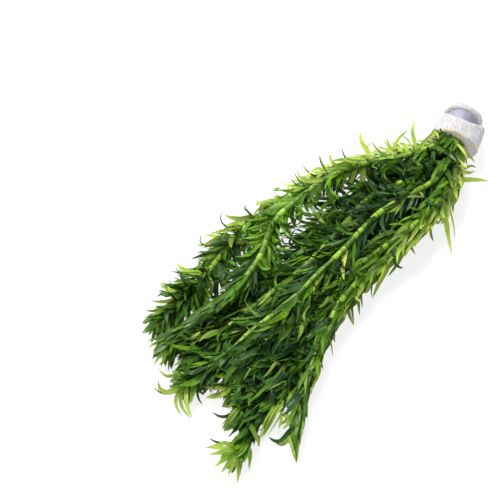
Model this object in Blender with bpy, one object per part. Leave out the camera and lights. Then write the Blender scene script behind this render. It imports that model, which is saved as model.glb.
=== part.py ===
# A bunch of Brazilian waterweed: ten leafy shoots, held at their cut ends by a wound strip of foam
# that a soft lead strip squeezes at its waist. The bunch lies on a surface at z = 0.
# The wrap's axis runs along Y, with the cut ends towards +Y and the growing tips towards -Y.
# The origin is on the flat underside of the wrap's front lip.

import math
import random

import bmesh
import bpy
from mathutils import Matrix, Vector
from mathutils.bvhtree import BVHTree
from mathutils.geometry import interpolate_bezier

MM = 0.001
SEED = 11

# Foam wrap: a wound strip, so its outside steps down by one layer where the strip ends. Its mouth
# flares where the shoots fan out. An edge is cut back by its first size in radius and by its second
# along the axis, or by its one size both ways.
AXIS_HEIGHT = 10.3 * MM
HOLE_RADIUS = 5.9 * MM
MOUTH_RADIUS = 8.4 * MM
MOUTH_DEPTH = 3.0 * MM
WAIST_RADIUS = 6.6 * MM
LIP_RADIUS = 10.9 * MM
LAYER_STEP = 0.6 * MM
STRIP_END_ANGLE = math.radians(290)
LIP_FRONT = -6.6 * MM
LIP_BACK = 3.2 * MM
REAR_LIP_FRONT = 10.3 * MM
REAR_LIP_BACK = 13.4 * MM
REAR_LIP_RADIUS = 9.4 * MM
FRONT_EDGE = 0.7 * MM
BACK_EDGE = (1.4 * MM, 0.85 * MM)
REAR_EDGE = (1.0 * MM, 0.6 * MM)
WRAP_SEGMENTS = 24

# Lead strip: one turn round the waist, with its end lapped over its start.
LEAD_RADIUS = 8.0 * MM
LEAD_THICKNESS = 1.0 * MM
LEAD_LAP = 0.5 * MM
LEAD_GAP = 0.3 * MM
LEAD_END_ANGLE = math.radians(118)

# Shoots. Leaves stand in whorls of four, one on each side of the stem, and the stem turns by half
# a side from one whorl to the next.
STEM_SIDES = 4
WHORL_TURN = math.pi / STEM_SIDES
STEM_RADIUS = 1.35 * MM
TIP_RADIUS = 0.85 * MM
NODE_HEIGHT = 0.9 * MM
BUD_LENGTH = 4.5 * MM
HELD_LENGTH = 20.0 * MM
BARE_LENGTH = 25.0 * MM
WHORL_SPACING_LOW = 15.0 * MM
WHORL_SPACING_TIP = 6.5 * MM
LEAF_LENGTH = 13.0 * MM
TIP_LEAF_LENGTH = 10.5 * MM
LEAF_WIDTH = 2.8 * MM
LEAF_THICKNESS = 0.5 * MM
LEAF_GAP = 0.3 * MM

# Each leaf's angle from the stem, its further bend at the middle and its turn about the stem, in
# degrees. Where a leaf would meet another piece, the shares and turns after the first are tried.
LEAF_SPREAD = 40
LEAF_SPREAD_DEVIATION = 8
LEAF_CURL_RANGE = (-4, 34)
LEAF_SWING = 14
LENGTH_SHARES = (1.0, 0.86, 0.72, 0.6)
SPREAD_SHARES = (1.0, 0.78, 1.25, 0.58, 0.42)
SWING_TRIES = (0, 16, -16, 32, -32)

# Routes of the stems from cut end to tip, in mm. Each starts in its own place in the wrap's hole.
ROUTES = {
    "shoot_01": [
        (-1.6, 15.0, 14.1), (-1.6, 4.0, 14.1), (-1.7, -6.0, 14.2), (-5.0, -12.5, 16.0),
        (-10.5, -19.5, 17.0), (-19.5, -28.0, 17.0), (-32.0, -36.5, 17.0), (-44.0, -50.0, 16.2),
        (-51.0, -64.0, 15.5), (-56.0, -76.5, 15.0), (-56.5, -88.5, 15.0), (-55.5, -100.0, 15.0),
        (-57.0, -112.0, 14.5), (-60.0, -123.0, 13.5), (-67.0, -134.0, 11.0), (-72.5, -143.5, 9.0),
        (-76.5, -152.0, 7.0),
    ],
    "shoot_02": [
        (-3.9, 14.2, 8.7), (-3.9, 4.0, 8.7), (-4.0, -6.0, 8.7), (-10.5, -12.5, 8.7),
        (-21.0, -18.0, 8.0), (-35.0, -26.0, 7.5), (-47.5, -38.0, 6.5), (-56.0, -53.0, 6.0),
        (-64.0, -68.5, 6.0), (-69.5, -79.0, 6.0), (-72.5, -89.0, 6.0), (-74.5, -100.0, 6.0),
        (-76.0, -111.5, 6.0), (-78.5, -122.0, 6.0), (-82.0, -131.5, 5.5), (-87.0, -141.5, 5.0),
    ],
    "shoot_03": [
        (-3.9, 15.4, 11.9), (-3.9, 4.0, 11.9), (-3.9, -6.0, 11.9), (-4.2, -19.0, 12.0),
        (-8.0, -29.5, 12.0), (-14.5, -37.5, 12.0), (-21.0, -45.5, 12.0), (-25.5, -54.5, 12.0),
        (-28.0, -65.0, 11.8), (-31.5, -78.0, 11.0), (-36.0, -91.0, 10.0), (-41.0, -104.0, 10.0),
        (-47.5, -116.5, 9.0), (-53.5, -129.5, 8.5), (-59.5, -143.0, 8.0), (-62.5, -150.5, 7.0),
        (-65.0, -157.0, 6.0),
    ],
    "shoot_04": [
        (1.6, 14.6, 14.1), (1.6, 4.0, 14.1), (1.6, -6.0, 14.1), (2.8, -19.5, 15.0),
        (1.2, -31.0, 15.6), (-4.0, -41.0, 16.2), (-10.0, -50.5, 16.6), (-16.0, -61.5, 17.0),
        (-20.0, -74.0, 17.0), (-23.5, -87.0, 17.0), (-28.5, -101.0, 16.6), (-33.5, -114.0, 15.0),
        (-39.0, -125.0, 13.0), (-45.5, -136.0, 11.0), (-50.5, -147.5, 9.0), (-54.5, -156.5, 8.0),
        (-58.5, -163.0, 7.0), (-62.0, -168.0, 6.0),
    ],
    "shoot_05": [
        (3.9, 15.2, 11.9), (3.9, 4.0, 11.9), (3.9, -6.0, 11.9), (6.4, -18.5, 13.0),
        (7.6, -31.0, 14.0), (5.6, -44.0, 14.4), (0.8, -57.0, 14.2), (-4.0, -67.5, 14.0),
        (-9.5, -77.5, 13.4), (-15.5, -89.0, 13.0), (-20.5, -99.0, 12.4), (-26.0, -108.5, 11.6),
        (-29.8, -118.0, 11.0), (-33.8, -128.0, 10.5), (-38.5, -138.0, 10.0), (-42.0, -147.5, 9.0),
        (-44.0, -156.0, 8.0), (-45.0, -164.5, 7.0),
    ],
    "shoot_06": [
        (3.9, 13.9, 8.7), (3.9, 4.0, 8.7), (4.0, -6.0, 8.7), (7.0, -22.0, 9.0),
        (7.2, -38.0, 9.6), (2.8, -56.0, 10.0), (-3.0, -71.5, 10.4), (-9.0, -85.0, 11.0),
        (-13.5, -97.5, 11.4), (-16.5, -109.5, 11.4), (-17.2, -121.5, 10.4), (-17.0, -134.0, 9.2),
        (-16.8, -144.0, 8.0), (-16.2, -153.5, 7.0), (-15.0, -161.0, 6.5), (-13.4, -168.0, 6.0),
        (-11.6, -175.5, 5.5), (-9.8, -181.0, 5.0),
    ],
    "shoot_07": [
        (1.45, 14.8, 10.3), (1.45, 4.0, 10.3), (1.45, -6.0, 10.2), (2.4, -22.0, 7.4),
        (1.4, -40.0, 6.0), (-5.8, -59.0, 5.6), (-12.6, -76.0, 5.4), (-18.0, -94.0, 5.4),
        (-22.0, -112.0, 5.8), (-24.4, -128.0, 6.8), (-26.0, -141.0, 7.8), (-28.6, -152.0, 8.0),
        (-31.5, -161.0, 7.5), (-34.5, -168.0, 7.0), (-37.0, -174.0, 6.0),
    ],
    "shoot_08": [
        (1.6, 15.6, 6.5), (1.6, 4.0, 6.5), (1.7, -6.0, 6.5), (6.4, -21.0, 5.2),
        (6.8, -37.0, 4.8), (1.4, -55.0, 4.6), (-5.4, -72.0, 4.6), (-11.6, -90.0, 4.6),
        (-15.4, -108.0, 4.6), (-18.4, -126.0, 4.6), (-21.4, -141.0, 5.0), (-24.4, -153.5, 5.6),
        (-27.0, -164.5, 6.0), (-29.0, -173.5, 6.0), (-30.0, -182.5, 6.0), (-30.8, -190.5, 5.5),
    ],
    "shoot_09": [
        (-1.6, 14.0, 6.5), (-1.6, 4.0, 6.5), (-1.7, -6.0, 6.5), (-9.0, -19.0, 5.8),
        (-20.5, -33.0, 5.4), (-30.0, -48.0, 5.0), (-37.0, -65.0, 5.0), (-43.5, -86.0, 5.0),
        (-50.5, -107.0, 5.0), (-58.0, -126.5, 5.2), (-64.5, -139.5, 5.2), (-69.5, -150.0, 5.0),
    ],
    "shoot_10": [
        (-1.45, 15.3, 10.3), (-1.45, 4.0, 10.3), (-1.45, -6.0, 10.2), (-1.6, -22.0, 8.4),
        (-5.4, -36.0, 7.4), (-13.0, -51.0, 6.6), (-20.4, -68.0, 6.0), (-25.6, -86.5, 5.6),
        (-29.5, -105.5, 5.4), (-33.0, -125.0, 5.4), (-35.8, -139.5, 5.8), (-37.6, -152.5, 6.0),
        (-39.6, -164.5, 6.0),
    ],
}


def clear_scene():
    for obj in list(bpy.data.objects):
        bpy.data.objects.remove(obj, do_unlink=True)


def make_material(name, color, roughness, metallic=0.0):
    material = bpy.data.materials.new(name)
    material.use_nodes = True
    shader = material.node_tree.nodes["Principled BSDF"]
    shader.inputs["Base Color"].default_value = (*color, 1.0)
    shader.inputs["Roughness"].default_value = roughness
    shader.inputs["Metallic"].default_value = metallic
    return material


def make_object(name, shape, material, collection):
    bmesh.ops.recalc_face_normals(shape, faces=shape.faces[:])
    mesh = bpy.data.meshes.new(name)
    shape.to_mesh(mesh)
    shape.free()
    mesh.materials.append(material)
    obj = bpy.data.objects.new(name, mesh)
    collection.objects.link(obj)
    return obj


class Path:
    """A smooth curve through a route's points, read by the distance from its start."""

    def __init__(self, route):
        points = [Vector(point) * MM for point in route]
        last = len(points) - 1
        self.points = []
        for i in range(last):
            start, end = points[i], points[i + 1]
            reach = (end - start).length / 3
            leaving = (end - points[max(i - 1, 0)]).normalized() * reach
            arriving = (points[min(i + 2, last)] - start).normalized() * reach
            self.points += interpolate_bezier(start, start + leaving, end - arriving, end, 12)[:-1]
        self.points.append(points[last])
        self.distances = [0.0]
        for start, end in zip(self.points, self.points[1:]):
            self.distances.append(self.distances[-1] + (end - start).length)
        self.length = self.distances[-1]
        self.uprights = self.carried_uprights()

    def tangent(self, i):
        return (self.points[min(i + 1, len(self.points) - 1)] - self.points[max(i - 1, 0)]).normalized()

    def carried_uprights(self):
        """A direction square to the curve at each point, carried along it without twist."""
        upright = Vector((0, 0, 1))
        found = []
        for i in range(len(self.points)):
            tangent = self.tangent(i)
            upright = (upright - tangent * upright.dot(tangent)).normalized()
            found.append(upright)
        return found

    def frame(self, distance):
        """Place and axes at this distance: local Z runs along the stem towards the tip."""
        i = 0
        while i < len(self.distances) - 2 and self.distances[i + 1] < distance:
            i += 1
        share = (distance - self.distances[i]) / (self.distances[i + 1] - self.distances[i])
        place = self.points[i].lerp(self.points[i + 1], share)
        along = self.tangent(i).lerp(self.tangent(i + 1), share).normalized()
        upright = self.uprights[i].lerp(self.uprights[i + 1], share)
        across = upright.cross(along).normalized()
        axes = Matrix((across, along.cross(across), along)).transposed()
        return Matrix.Translation(place) @ axes.to_4x4()


class Leaf:
    """A blade from a face of a stem node: it leaves the stem at spread and bends out by curl at its middle."""

    def __init__(self, face_center, tangent, outward, length, spread, curl, swing):
        lean = Matrix.Rotation(swing, 3, tangent) @ outward
        first = tangent * math.cos(spread) + lean * math.sin(spread)
        second = tangent * math.cos(spread + curl) + lean * math.sin(spread + curl)
        self.base = face_center
        self.side = tangent.cross(lean).normalized()
        self.inner = (tangent * math.sin(spread) - lean * math.cos(spread)).normalized()
        self.first = first
        self.middle = face_center + first * length * 0.5
        self.middle.z = max(self.middle.z, LEAF_THICKNESS)
        self.tip = self.middle + second * length * 0.5
        self.tip.z = max(self.tip.z, 0.0)
        self.length = length

    def corner(self, side, inner, extra=0.0):
        """One corner of the widest section."""
        across = self.side * side * (LEAF_WIDTH / 2 + extra)
        through = self.inner * inner * (LEAF_THICKNESS / 2 + extra)
        place = self.middle + across + through
        place.z = max(place.z, 0.0)
        return place

    def tree(self, extra, off_stem=0.0):
        """The blade as a tree for overlap tests, thicker all round by extra, from this far off the stem."""
        start = self.base + self.first * off_stem
        half_width = STEM_RADIUS / 2 + extra
        half_height = LEAF_THICKNESS / 2 + extra
        turns = ((-1, -1), (1, -1), (1, 1), (-1, 1))
        points = [start + self.side * s * half_width + self.inner * n * half_height for s, n in turns]
        points += [self.corner(s, n, extra) for s, n in turns]
        points.append(self.tip + (self.tip - self.middle).normalized() * extra)
        faces = [(0, 1, 2, 3)]
        for i in range(4):
            j = (i + 1) % 4
            faces += [(i, j, 4 + j, 4 + i), (4 + i, 4 + j, 8)]
        return BVHTree.FromPolygons(points, faces)


class Shoot:
    """A stem with its node faces kept for the leaves, and the tree of its bare surface."""

    def __init__(self, name, route):
        self.name = name
        self.path = Path(route)
        self.shape = bmesh.new()
        self.whorls = []
        self.leaves = []
        self.build_stem()
        self.stem_tree = BVHTree.FromBMesh(self.shape)

    def radius(self, distance):
        share = distance / self.path.length
        return STEM_RADIUS + (TIP_RADIUS - STEM_RADIUS) * share ** 2

    def whorl_distances(self):
        found = []
        distance = BARE_LENGTH
        while distance < self.path.length - BUD_LENGTH - NODE_HEIGHT:
            found.append(distance)
            share = distance / self.path.length
            distance += WHORL_SPACING_LOW + (WHORL_SPACING_TIP - WHORL_SPACING_LOW) * share
        return found

    def build_stem(self):
        frame = self.path.frame(0.0)
        bmesh.ops.create_circle(
            self.shape, cap_ends=True, segments=STEM_SIDES, radius=STEM_RADIUS, matrix=frame
        )
        self.cap = self.shape.faces[:][0]
        self.cut_end = self.cap
        self.cap_place = frame @ Matrix.Scale(STEM_RADIUS, 4)
        self.grow_to(HELD_LENGTH, 0.0)
        turn = 0.0
        for distance in self.whorl_distances():
            self.grow_to(distance, turn)
            sides = self.grow_to(distance + NODE_HEIGHT, turn)
            self.whorls.append((distance + NODE_HEIGHT / 2, sides))
            turn += WHORL_TURN
        self.grow_to(self.path.length - BUD_LENGTH, turn)
        bmesh.ops.pointmerge(self.shape, verts=self.extrude_cap(), merge_co=self.path.points[-1])

    def extrude_cap(self):
        """Extrudes the stem's end face in place, and returns the new corners."""
        grown = bmesh.ops.extrude_face_region(self.shape, geom=[self.cap])["geom"]
        if self.cap is not self.cut_end:
            bmesh.ops.delete(self.shape, geom=[self.cap], context="FACES_ONLY")
        self.cap = [part for part in grown if isinstance(part, bmesh.types.BMFace)][0]
        return [part for part in grown if isinstance(part, bmesh.types.BMVert)]

    def grow_to(self, distance, turn):
        """Extrudes the end of the stem to this distance, turned about it, and returns the new sides."""
        ends = self.extrude_cap()
        place = self.path.frame(distance) @ Matrix.Rotation(turn, 4, "Z")
        place = place @ Matrix.Scale(self.radius(distance), 4)
        bmesh.ops.transform(self.shape, matrix=place @ self.cap_place.inverted(), verts=ends)
        self.cap_place = place
        return [face for edge in self.cap.edges for face in edge.link_faces if face is not self.cap]

    def leaves_near(self, place):
        """The trees of this shoot's leaves that a leaf from this place could reach."""
        return [
            tree for leaf, tree in self.leaves
            if (leaf.middle - place).length < LEAF_LENGTH * 1.2 + leaf.length / 2
        ]

    def grow_leaf(self, face, leaf):
        blade = bmesh.ops.extrude_discrete_faces(self.shape, faces=[face])["faces"][0]
        center = blade.calc_center_median()
        for vert in blade.verts:
            offset = vert.co - center
            side = math.copysign(1, offset.dot(leaf.side))
            inner = math.copysign(1, offset.dot(leaf.inner))
            vert.co = leaf.corner(side, inner)
        point = bmesh.ops.extrude_discrete_faces(self.shape, faces=[blade])["faces"][0]
        bmesh.ops.pointmerge(self.shape, verts=point.verts[:], merge_co=leaf.tip)
        self.leaves.append((leaf, leaf.tree(0.0)))


def leaf_choices(face_center, tangent, outward, length, draw):
    """Leaves to try in turn, from the one that nature would give to shorter and flatter ones."""
    spread = math.radians(draw.gauss(LEAF_SPREAD, LEAF_SPREAD_DEVIATION))
    curl = math.radians(draw.uniform(*LEAF_CURL_RANGE))
    swing = math.radians(draw.uniform(-LEAF_SWING, LEAF_SWING))
    for shorter in LENGTH_SHARES:
        for flatter in SPREAD_SHARES:
            for turn in SWING_TRIES:
                yield Leaf(
                    face_center, tangent, outward, length * shorter, spread * flatter,
                    curl * flatter, swing + math.radians(turn),
                )


def is_clear(leaf, shoot, others, own_leaves):
    """True where the leaf keeps its gap to all that is of other pieces and to its own shoot's leaves."""
    whole = leaf.tree(LEAF_GAP)
    if any(whole.overlap(other) for other in others):
        return False
    blade = leaf.tree(LEAF_GAP, NODE_HEIGHT + LEAF_GAP)
    if any(blade.overlap(other) for other in own_leaves):
        return False
    nearest = [shoot.stem_tree.find_nearest(place)[3] for place in (leaf.middle, leaf.tip)]
    return min(nearest) > LEAF_THICKNESS + LEAF_GAP


def grow_whorl(shoot, number, shoots, wrap_trees, draw):
    distance, sides = shoot.whorls[number]
    frame = shoot.path.frame(distance)
    tangent = frame.col[2].to_3d()
    share = distance / shoot.path.length
    length = LEAF_LENGTH + (TIP_LEAF_LENGTH - LEAF_LENGTH) * share ** 3
    solids = wrap_trees + [other.stem_tree for other in shoots if other is not shoot]
    for face in sides:
        face_center = face.calc_center_median()
        outward = face_center - frame.translation
        outward = (outward - tangent * outward.dot(tangent)).normalized()
        others = solids + [
            tree for other in shoots if other is not shoot for tree in other.leaves_near(face_center)
        ]
        full = length * draw.uniform(0.9, 1.12)
        for leaf in leaf_choices(face_center, tangent, outward, full, draw):
            if is_clear(leaf, shoot, others, shoot.leaves_near(face_center)):
                shoot.grow_leaf(face, leaf)
                break


def turned_band(profile, segments, step_angle, step, floor):
    """A profile of (y, radius) points spun round the wrap's axis, shrinking by step over one turn."""
    shape = bmesh.new()
    verts = [shape.verts.new((radius, y, AXIS_HEIGHT)) for y, radius in profile]
    edges = [shape.edges.new((start, end)) for start, end in zip(verts, verts[1:] + verts[:1])]
    bmesh.ops.spin(
        shape, geom=verts + edges, cent=(0, 0, AXIS_HEIGHT), axis=(0, 1, 0),
        angle=2 * math.pi, steps=segments, use_merge=True,
    )
    hole = min(radius for _, radius in profile)
    rim = max(radius for _, radius in profile)
    for vert in shape.verts:
        x, z = vert.co.x, vert.co.z - AXIS_HEIGHT
        radius = math.hypot(x, z)
        turn = (step_angle - math.atan2(z, x)) % (2 * math.pi) / (2 * math.pi)
        grown = radius - step * turn * (radius - hole) / (rim - hole)
        vert.co.x = x * grown / radius
        vert.co.z = AXIS_HEIGHT + z * grown / radius
        if floor:
            vert.co.z = max(vert.co.z, 0.0)
    return shape


def foam_wrap_shape():
    profile = [
        (LIP_FRONT + MOUTH_DEPTH, HOLE_RADIUS),
        (LIP_FRONT, MOUTH_RADIUS),
        (LIP_FRONT, LIP_RADIUS - FRONT_EDGE),
        (LIP_FRONT + FRONT_EDGE, LIP_RADIUS),
        (LIP_BACK - BACK_EDGE[1], LIP_RADIUS),
        (LIP_BACK, LIP_RADIUS - BACK_EDGE[0]),
        (LIP_BACK, WAIST_RADIUS),
        (REAR_LIP_FRONT, WAIST_RADIUS),
        (REAR_LIP_FRONT, REAR_LIP_RADIUS - REAR_EDGE[0]),
        (REAR_LIP_FRONT + REAR_EDGE[1], REAR_LIP_RADIUS),
        (REAR_LIP_BACK - REAR_EDGE[0], REAR_LIP_RADIUS),
        (REAR_LIP_BACK, REAR_LIP_RADIUS - REAR_EDGE[0]),
        (REAR_LIP_BACK, HOLE_RADIUS),
    ]
    return turned_band(profile, WRAP_SEGMENTS, STRIP_END_ANGLE, LAYER_STEP, floor=True)


def lead_strip_shape():
    front = LIP_BACK + LEAD_GAP
    back = REAR_LIP_FRONT - LEAD_GAP
    inside = LEAD_RADIUS - LEAD_THICKNESS
    profile = [(front, inside), (front, LEAD_RADIUS), (back, LEAD_RADIUS), (back, inside)]
    return turned_band(profile, WRAP_SEGMENTS, LEAD_END_ANGLE, LEAD_LAP, floor=False)


def main():
    clear_scene()
    collection = bpy.data.collections.new("waterweed_bunch")
    bpy.context.scene.collection.children.link(collection)
    green = make_material("waterweed_green", (0.10, 0.27, 0.03), 0.35)
    foam = make_material("white_foam", (0.78, 0.77, 0.74), 0.95)
    lead = make_material("soft_lead", (0.33, 0.33, 0.42), 0.5, metallic=0.6)

    wrap = foam_wrap_shape()
    strip = lead_strip_shape()
    wrap_trees = [BVHTree.FromBMesh(wrap), BVHTree.FromBMesh(strip)]

    shoots = [Shoot(name, route) for name, route in ROUTES.items()]
    draw = random.Random(SEED)
    for number in range(max(len(shoot.whorls) for shoot in shoots)):
        for shoot in shoots:
            if number < len(shoot.whorls):
                grow_whorl(shoot, number, shoots, wrap_trees, draw)

    for shoot in shoots:
        leaf_count = len(shoot.leaves)
        print(shoot.name, len(shoot.whorls), "whorls", leaf_count, "leaves")
        make_object(shoot.name, shoot.shape, green, collection)
    make_object("foam_wrap", wrap, foam, collection)
    make_object("lead_strip", strip, lead, collection)


main()
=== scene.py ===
import math
import random

import bmesh
import bpy
from mathutils import Matrix, Vector, noise
from mathutils.geometry import interpolate_bezier
from mathutils.kdtree import KDTree


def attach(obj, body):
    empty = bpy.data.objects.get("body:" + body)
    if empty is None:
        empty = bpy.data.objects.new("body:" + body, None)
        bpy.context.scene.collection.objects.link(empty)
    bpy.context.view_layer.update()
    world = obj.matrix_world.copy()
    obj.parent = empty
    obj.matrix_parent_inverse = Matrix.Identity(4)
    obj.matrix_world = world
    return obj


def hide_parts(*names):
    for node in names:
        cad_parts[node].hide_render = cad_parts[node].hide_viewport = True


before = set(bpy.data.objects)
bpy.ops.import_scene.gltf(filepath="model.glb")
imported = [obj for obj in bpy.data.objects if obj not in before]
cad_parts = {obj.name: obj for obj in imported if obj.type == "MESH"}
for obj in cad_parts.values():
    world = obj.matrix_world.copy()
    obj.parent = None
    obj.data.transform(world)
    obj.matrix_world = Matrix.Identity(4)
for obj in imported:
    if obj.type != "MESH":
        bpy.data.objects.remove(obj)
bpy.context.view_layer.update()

mm = 0.001
anyTurn = (0, 6.28)  # radians

# Where the stems run, cut end first, in mm. These are the solids' own routes.
routes = {
    "shoot_01": [
        (-1.6, 15.0, 14.1), (-1.6, 4.0, 14.1), (-1.7, -6.0, 14.2), (-5.0, -12.5, 16.0),
        (-10.5, -19.5, 17.0), (-19.5, -28.0, 17.0), (-32.0, -36.5, 17.0), (-44.0, -50.0, 16.2),
        (-51.0, -64.0, 15.5), (-56.0, -76.5, 15.0), (-56.5, -88.5, 15.0), (-55.5, -100.0, 15.0),
        (-57.0, -112.0, 14.5), (-60.0, -123.0, 13.5), (-67.0, -134.0, 11.0), (-72.5, -143.5, 9.0),
        (-76.5, -152.0, 7.0),
    ],
    "shoot_02": [
        (-3.9, 14.2, 8.7), (-3.9, 4.0, 8.7), (-4.0, -6.0, 8.7), (-10.5, -12.5, 8.7),
        (-21.0, -18.0, 8.0), (-35.0, -26.0, 7.5), (-47.5, -38.0, 6.5), (-56.0, -53.0, 6.0),
        (-64.0, -68.5, 6.0), (-69.5, -79.0, 6.0), (-72.5, -89.0, 6.0), (-74.5, -100.0, 6.0),
        (-76.0, -111.5, 6.0), (-78.5, -122.0, 6.0), (-82.0, -131.5, 5.5), (-87.0, -141.5, 5.0),
    ],
    "shoot_03": [
        (-3.9, 15.4, 11.9), (-3.9, 4.0, 11.9), (-3.9, -6.0, 11.9), (-4.2, -19.0, 12.0),
        (-8.0, -29.5, 12.0), (-14.5, -37.5, 12.0), (-21.0, -45.5, 12.0), (-25.5, -54.5, 12.0),
        (-28.0, -65.0, 11.8), (-31.5, -78.0, 11.0), (-36.0, -91.0, 10.0), (-41.0, -104.0, 10.0),
        (-47.5, -116.5, 9.0), (-53.5, -129.5, 8.5), (-59.5, -143.0, 8.0), (-62.5, -150.5, 7.0),
        (-65.0, -157.0, 6.0),
    ],
    "shoot_04": [
        (1.6, 14.6, 14.1), (1.6, 4.0, 14.1), (1.6, -6.0, 14.1), (2.8, -19.5, 15.0),
        (1.2, -31.0, 15.6), (-4.0, -41.0, 16.2), (-10.0, -50.5, 16.6), (-16.0, -61.5, 17.0),
        (-20.0, -74.0, 17.0), (-23.5, -87.0, 17.0), (-28.5, -101.0, 16.6), (-33.5, -114.0, 15.0),
        (-39.0, -125.0, 13.0), (-45.5, -136.0, 11.0), (-50.5, -147.5, 9.0), (-54.5, -156.5, 8.0),
        (-58.5, -163.0, 7.0), (-62.0, -168.0, 6.0),
    ],
    "shoot_05": [
        (3.9, 15.2, 11.9), (3.9, 4.0, 11.9), (3.9, -6.0, 11.9), (6.4, -18.5, 13.0),
        (7.6, -31.0, 14.0), (5.6, -44.0, 14.4), (0.8, -57.0, 14.2), (-4.0, -67.5, 14.0),
        (-9.5, -77.5, 13.4), (-15.5, -89.0, 13.0), (-20.5, -99.0, 12.4), (-26.0, -108.5, 11.6),
        (-29.8, -118.0, 11.0), (-33.8, -128.0, 10.5), (-38.5, -138.0, 10.0), (-42.0, -147.5, 9.0),
        (-44.0, -156.0, 8.0), (-45.0, -164.5, 7.0),
    ],
    "shoot_06": [
        (3.9, 13.9, 8.7), (3.9, 4.0, 8.7), (4.0, -6.0, 8.7), (7.0, -22.0, 9.0),
        (7.2, -38.0, 9.6), (2.8, -56.0, 10.0), (-3.0, -71.5, 10.4), (-9.0, -85.0, 11.0),
        (-13.5, -97.5, 11.4), (-16.5, -109.5, 11.4), (-17.2, -121.5, 10.4), (-17.0, -134.0, 9.2),
        (-16.8, -144.0, 8.0), (-16.2, -153.5, 7.0), (-15.0, -161.0, 6.5), (-13.4, -168.0, 6.0),
        (-11.6, -175.5, 5.5), (-9.8, -181.0, 5.0),
    ],
    "shoot_07": [
        (1.45, 14.8, 10.3), (1.45, 4.0, 10.3), (1.45, -6.0, 10.2), (2.4, -22.0, 7.4),
        (1.4, -40.0, 6.0), (-5.8, -59.0, 5.6), (-12.6, -76.0, 5.4), (-18.0, -94.0, 5.4),
        (-22.0, -112.0, 5.8), (-24.4, -128.0, 6.8), (-26.0, -141.0, 7.8), (-28.6, -152.0, 8.0),
        (-31.5, -161.0, 7.5), (-34.5, -168.0, 7.0), (-37.0, -174.0, 6.0),
    ],
    "shoot_08": [
        (1.6, 15.6, 6.5), (1.6, 4.0, 6.5), (1.7, -6.0, 6.5), (6.4, -21.0, 5.2),
        (6.8, -37.0, 4.8), (1.4, -55.0, 4.6), (-5.4, -72.0, 4.6), (-11.6, -90.0, 4.6),
        (-15.4, -108.0, 4.6), (-18.4, -126.0, 4.6), (-21.4, -141.0, 5.0), (-24.4, -153.5, 5.6),
        (-27.0, -164.5, 6.0), (-29.0, -173.5, 6.0), (-30.0, -182.5, 6.0), (-30.8, -190.5, 5.5),
    ],
    "shoot_09": [
        (-1.6, 14.0, 6.5), (-1.6, 4.0, 6.5), (-1.7, -6.0, 6.5), (-9.0, -19.0, 5.8),
        (-20.5, -33.0, 5.4), (-30.0, -48.0, 5.0), (-37.0, -65.0, 5.0), (-43.5, -86.0, 5.0),
        (-50.5, -107.0, 5.0), (-58.0, -126.5, 5.2), (-64.5, -139.5, 5.2), (-69.5, -150.0, 5.0),
    ],
    "shoot_10": [
        (-1.45, 15.3, 10.3), (-1.45, 4.0, 10.3), (-1.45, -6.0, 10.2), (-1.6, -22.0, 8.4),
        (-5.4, -36.0, 7.4), (-13.0, -51.0, 6.6), (-20.4, -68.0, 6.0), (-25.6, -86.5, 5.6),
        (-29.5, -105.5, 5.4), (-33.0, -125.0, 5.4), (-35.8, -139.5, 5.8), (-37.6, -152.5, 6.0),
        (-39.6, -164.5, 6.0),
    ],
}


def clamp(number, low=0.0, high=1.0):
    return min(max(number, low), high)


# 1 in the middle, fading to both sides
def bell(offset, half):
    return math.exp(-(offset / half) ** 2)


# The values at this share of the way, straight between the stops
def stopsAt(stops, share):
    for low, high in zip(stops, stops[1:]):
        if share <= high[0]:
            part = (share - low[0]) / (high[0] - low[0])
            return [a + (b - a) * part for a, b in zip(low[1:], high[1:])]
    return stops[-1][1:]


def treeOf(places):
    tree = KDTree(len(places))
    for i, place in enumerate(places):
        tree.insert(place, i)
    tree.balance()
    return tree


# Shader helpers

# A node's output that Python's operators can be used on
class Value:
    def __init__(self, maker, socket):
        self.maker = maker
        self.socket = socket

    def math(self, operation, *inputs, clamp=False):
        values = dict(enumerate(inputs))
        return self.maker.node("ShaderNodeMath", values, operation=operation, use_clamp=clamp)

    def __add__(self, other):
        return self.math("ADD", self, other)

    def __radd__(self, other):
        return self.math("ADD", other, self)

    def __sub__(self, other):
        return self.math("SUBTRACT", self, other)

    def __rsub__(self, other):
        return self.math("SUBTRACT", other, self)

    def __mul__(self, other):
        return self.math("MULTIPLY", self, other)

    def __rmul__(self, other):
        return self.math("MULTIPLY", other, self)

    def __abs__(self):
        return self.math("ABSOLUTE", self)

    # 0 at low, 1 at high, straight between
    def ramp(self, low, high):
        return self.math("MULTIPLY", self - low, 1.0 / (high - low), clamp=True)


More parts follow.
